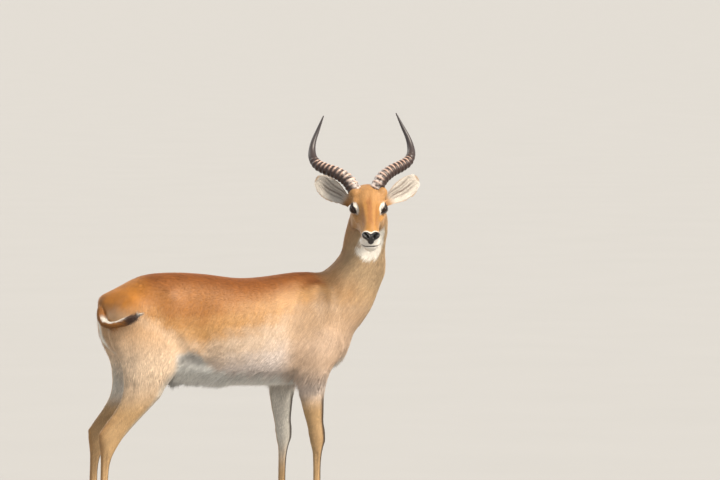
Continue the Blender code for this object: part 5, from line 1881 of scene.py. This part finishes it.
def floor():
    """A wide matt floor, pale and plain."""
    bm = bmesh.new()
    bmesh.ops.create_grid(bm, x_segments=2, y_segments=2, size=400.0)
    ground = mesh_object("floor", bm)
    made, tree, shader = new_material("pale matt floor paint", Roughness=0.85)
    place = add(tree, "ShaderNodeTexCoord").outputs["Object"]
    mottle = add(tree, "ShaderNodeTexNoise", {"Vector": place, "Scale": 1.5, "Detail": 3.0})
    paint(tree, shader, between(tree, mottle.outputs["Fac"], "a2a19f", "a6a5a3"))
    ground.data.materials.append(made)


def pointed(obj, at, target):
    """Places a lamp or camera so that it looks at a target."""
    obj.location = at
    obj.rotation_mode = "QUATERNION"
    obj.rotation_quaternion = (Vector(target) - Vector(at)).to_track_quat("-Z", "Y")
    bpy.context.scene.collection.objects.link(obj)


LAMPS = [
    # name, direction it shines from, width of its soft disc in degrees, strength, colour
    ("key", (0.42, -0.57, 0.75), 16.0, 4.2, "fff3e2"),
    ("fill", (0.62, -0.70, 0.36), 9.0, 1.7, "fff8ee"),
    ("back", (-0.5, 0.7, 0.6), 40.0, 0.9, "fff8ee"),
]


def studio():
    """Plain soft light: three lamps and an even, pale sky."""
    for name, place, width, strength, colour in LAMPS:
        lamp = bpy.data.lights.new(name, "SUN")
        lamp.angle, lamp.energy, lamp.color = math.radians(width), strength, linear(colour)
        pointed(bpy.data.objects.new(name, lamp), place, (0.0, 0.0, 0.0))
    world = bpy.data.worlds.new("studio air")
    world.use_nodes = True
    air = world.node_tree.nodes["Background"]
    air.inputs["Color"].default_value = (*linear("ebeef1"), 1)
    air.inputs["Strength"].default_value = 0.78
    bpy.context.scene.world = world
    bpy.context.scene.view_settings.view_transform = "Standard"


def camera():
    """The camera that sees the animal from its right, a little from behind and above."""
    azimuth, elevation = math.radians(VIEW_AZIMUTH), math.radians(VIEW_ELEVATION)
    back = Vector((math.sin(azimuth) * math.cos(elevation), -math.cos(azimuth) * math.cos(elevation),
                   math.sin(elevation)))
    lens = bpy.data.cameras.new("camera")
    lens.sensor_width = SENSOR
    lens.lens = SENSOR * VIEW_DISTANCE / VIEW_WIDTH
    lens.clip_end = 1000.0
    viewer = bpy.data.objects.new("camera", lens)
    pointed(viewer, Vector(VIEW_TARGET) + back * VIEW_DISTANCE, VIEW_TARGET)
    bpy.context.scene.camera = viewer


# ---------------------------------------------------------------- the whole animal
def on_stance(piece):
    """Moves a finished piece from the animal's own frame to where the solids stand."""
    piece.data.transform(Matrix.Translation(Vector((-STANCE_CENTRE[0], -STANCE_CENTRE[1], 0)) * CM))


FLESH_NODES = ("head", "neck", "trunk", "tail", "ear_", "foreleg_", "hindleg_")  # how their names begin


def dress():
    """Makes every piece, ties it to its body, and hides the nodes that it replaces."""
    hide = hair_material("hide under short hair", 0.0012, 0.35)
    hair = hair_material("locks of short hair", 0.0009, 0.15)
    flesh = skin()
    flesh.data.materials.clear()
    flesh.data.materials.append(hide)
    coat = lay_coat(flesh, hair)
    horn_finish, hoof_finish = horn_material(), hoof_material()
    pieces = [(flesh, "coat", [name for name in frame["nodes"] if name.startswith(FLESH_NODES)])]
    pieces += [(piece, "coat", []) for piece in coat]
    for side, letter, word in ((1, "L", "left"), (-1, "R", "right")):
        pieces.append((eyeball(f"eyeball_{word}", side, eye_material()), "eye", [f"eye_{letter}"]))
        pieces.append((horn(f"ringed_horn_{word}", side, horn_finish), "horn", [f"horn_{letter}"]))
    for name, (stations, side, setback, heel) in LEGS.items():
        mid_y = side * stations[-1][3]
        heel_x = heel + float(setback_at(0, setback))
        nodes = [f"{kind}_{place}_{name}" for kind in ("hoof", "dewclaw") for place in ("inner", "outer")]
        pieces.append((hooves("hooves_" + name, heel_x, mid_y, side, hoof_finish), "hoof", nodes))
    pieces.append((nose_pad(nose_material()), "nose_leather", ["nose_pad"]))
    pieces.append((eye_rims("eye_rims", rim_material()), "nose_leather", []))
    for piece, slot, nodes in pieces:
        on_stance(piece)
        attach(piece, "root")
        if nodes:
            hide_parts(*nodes)


dress()
floor()
studio()
camera()
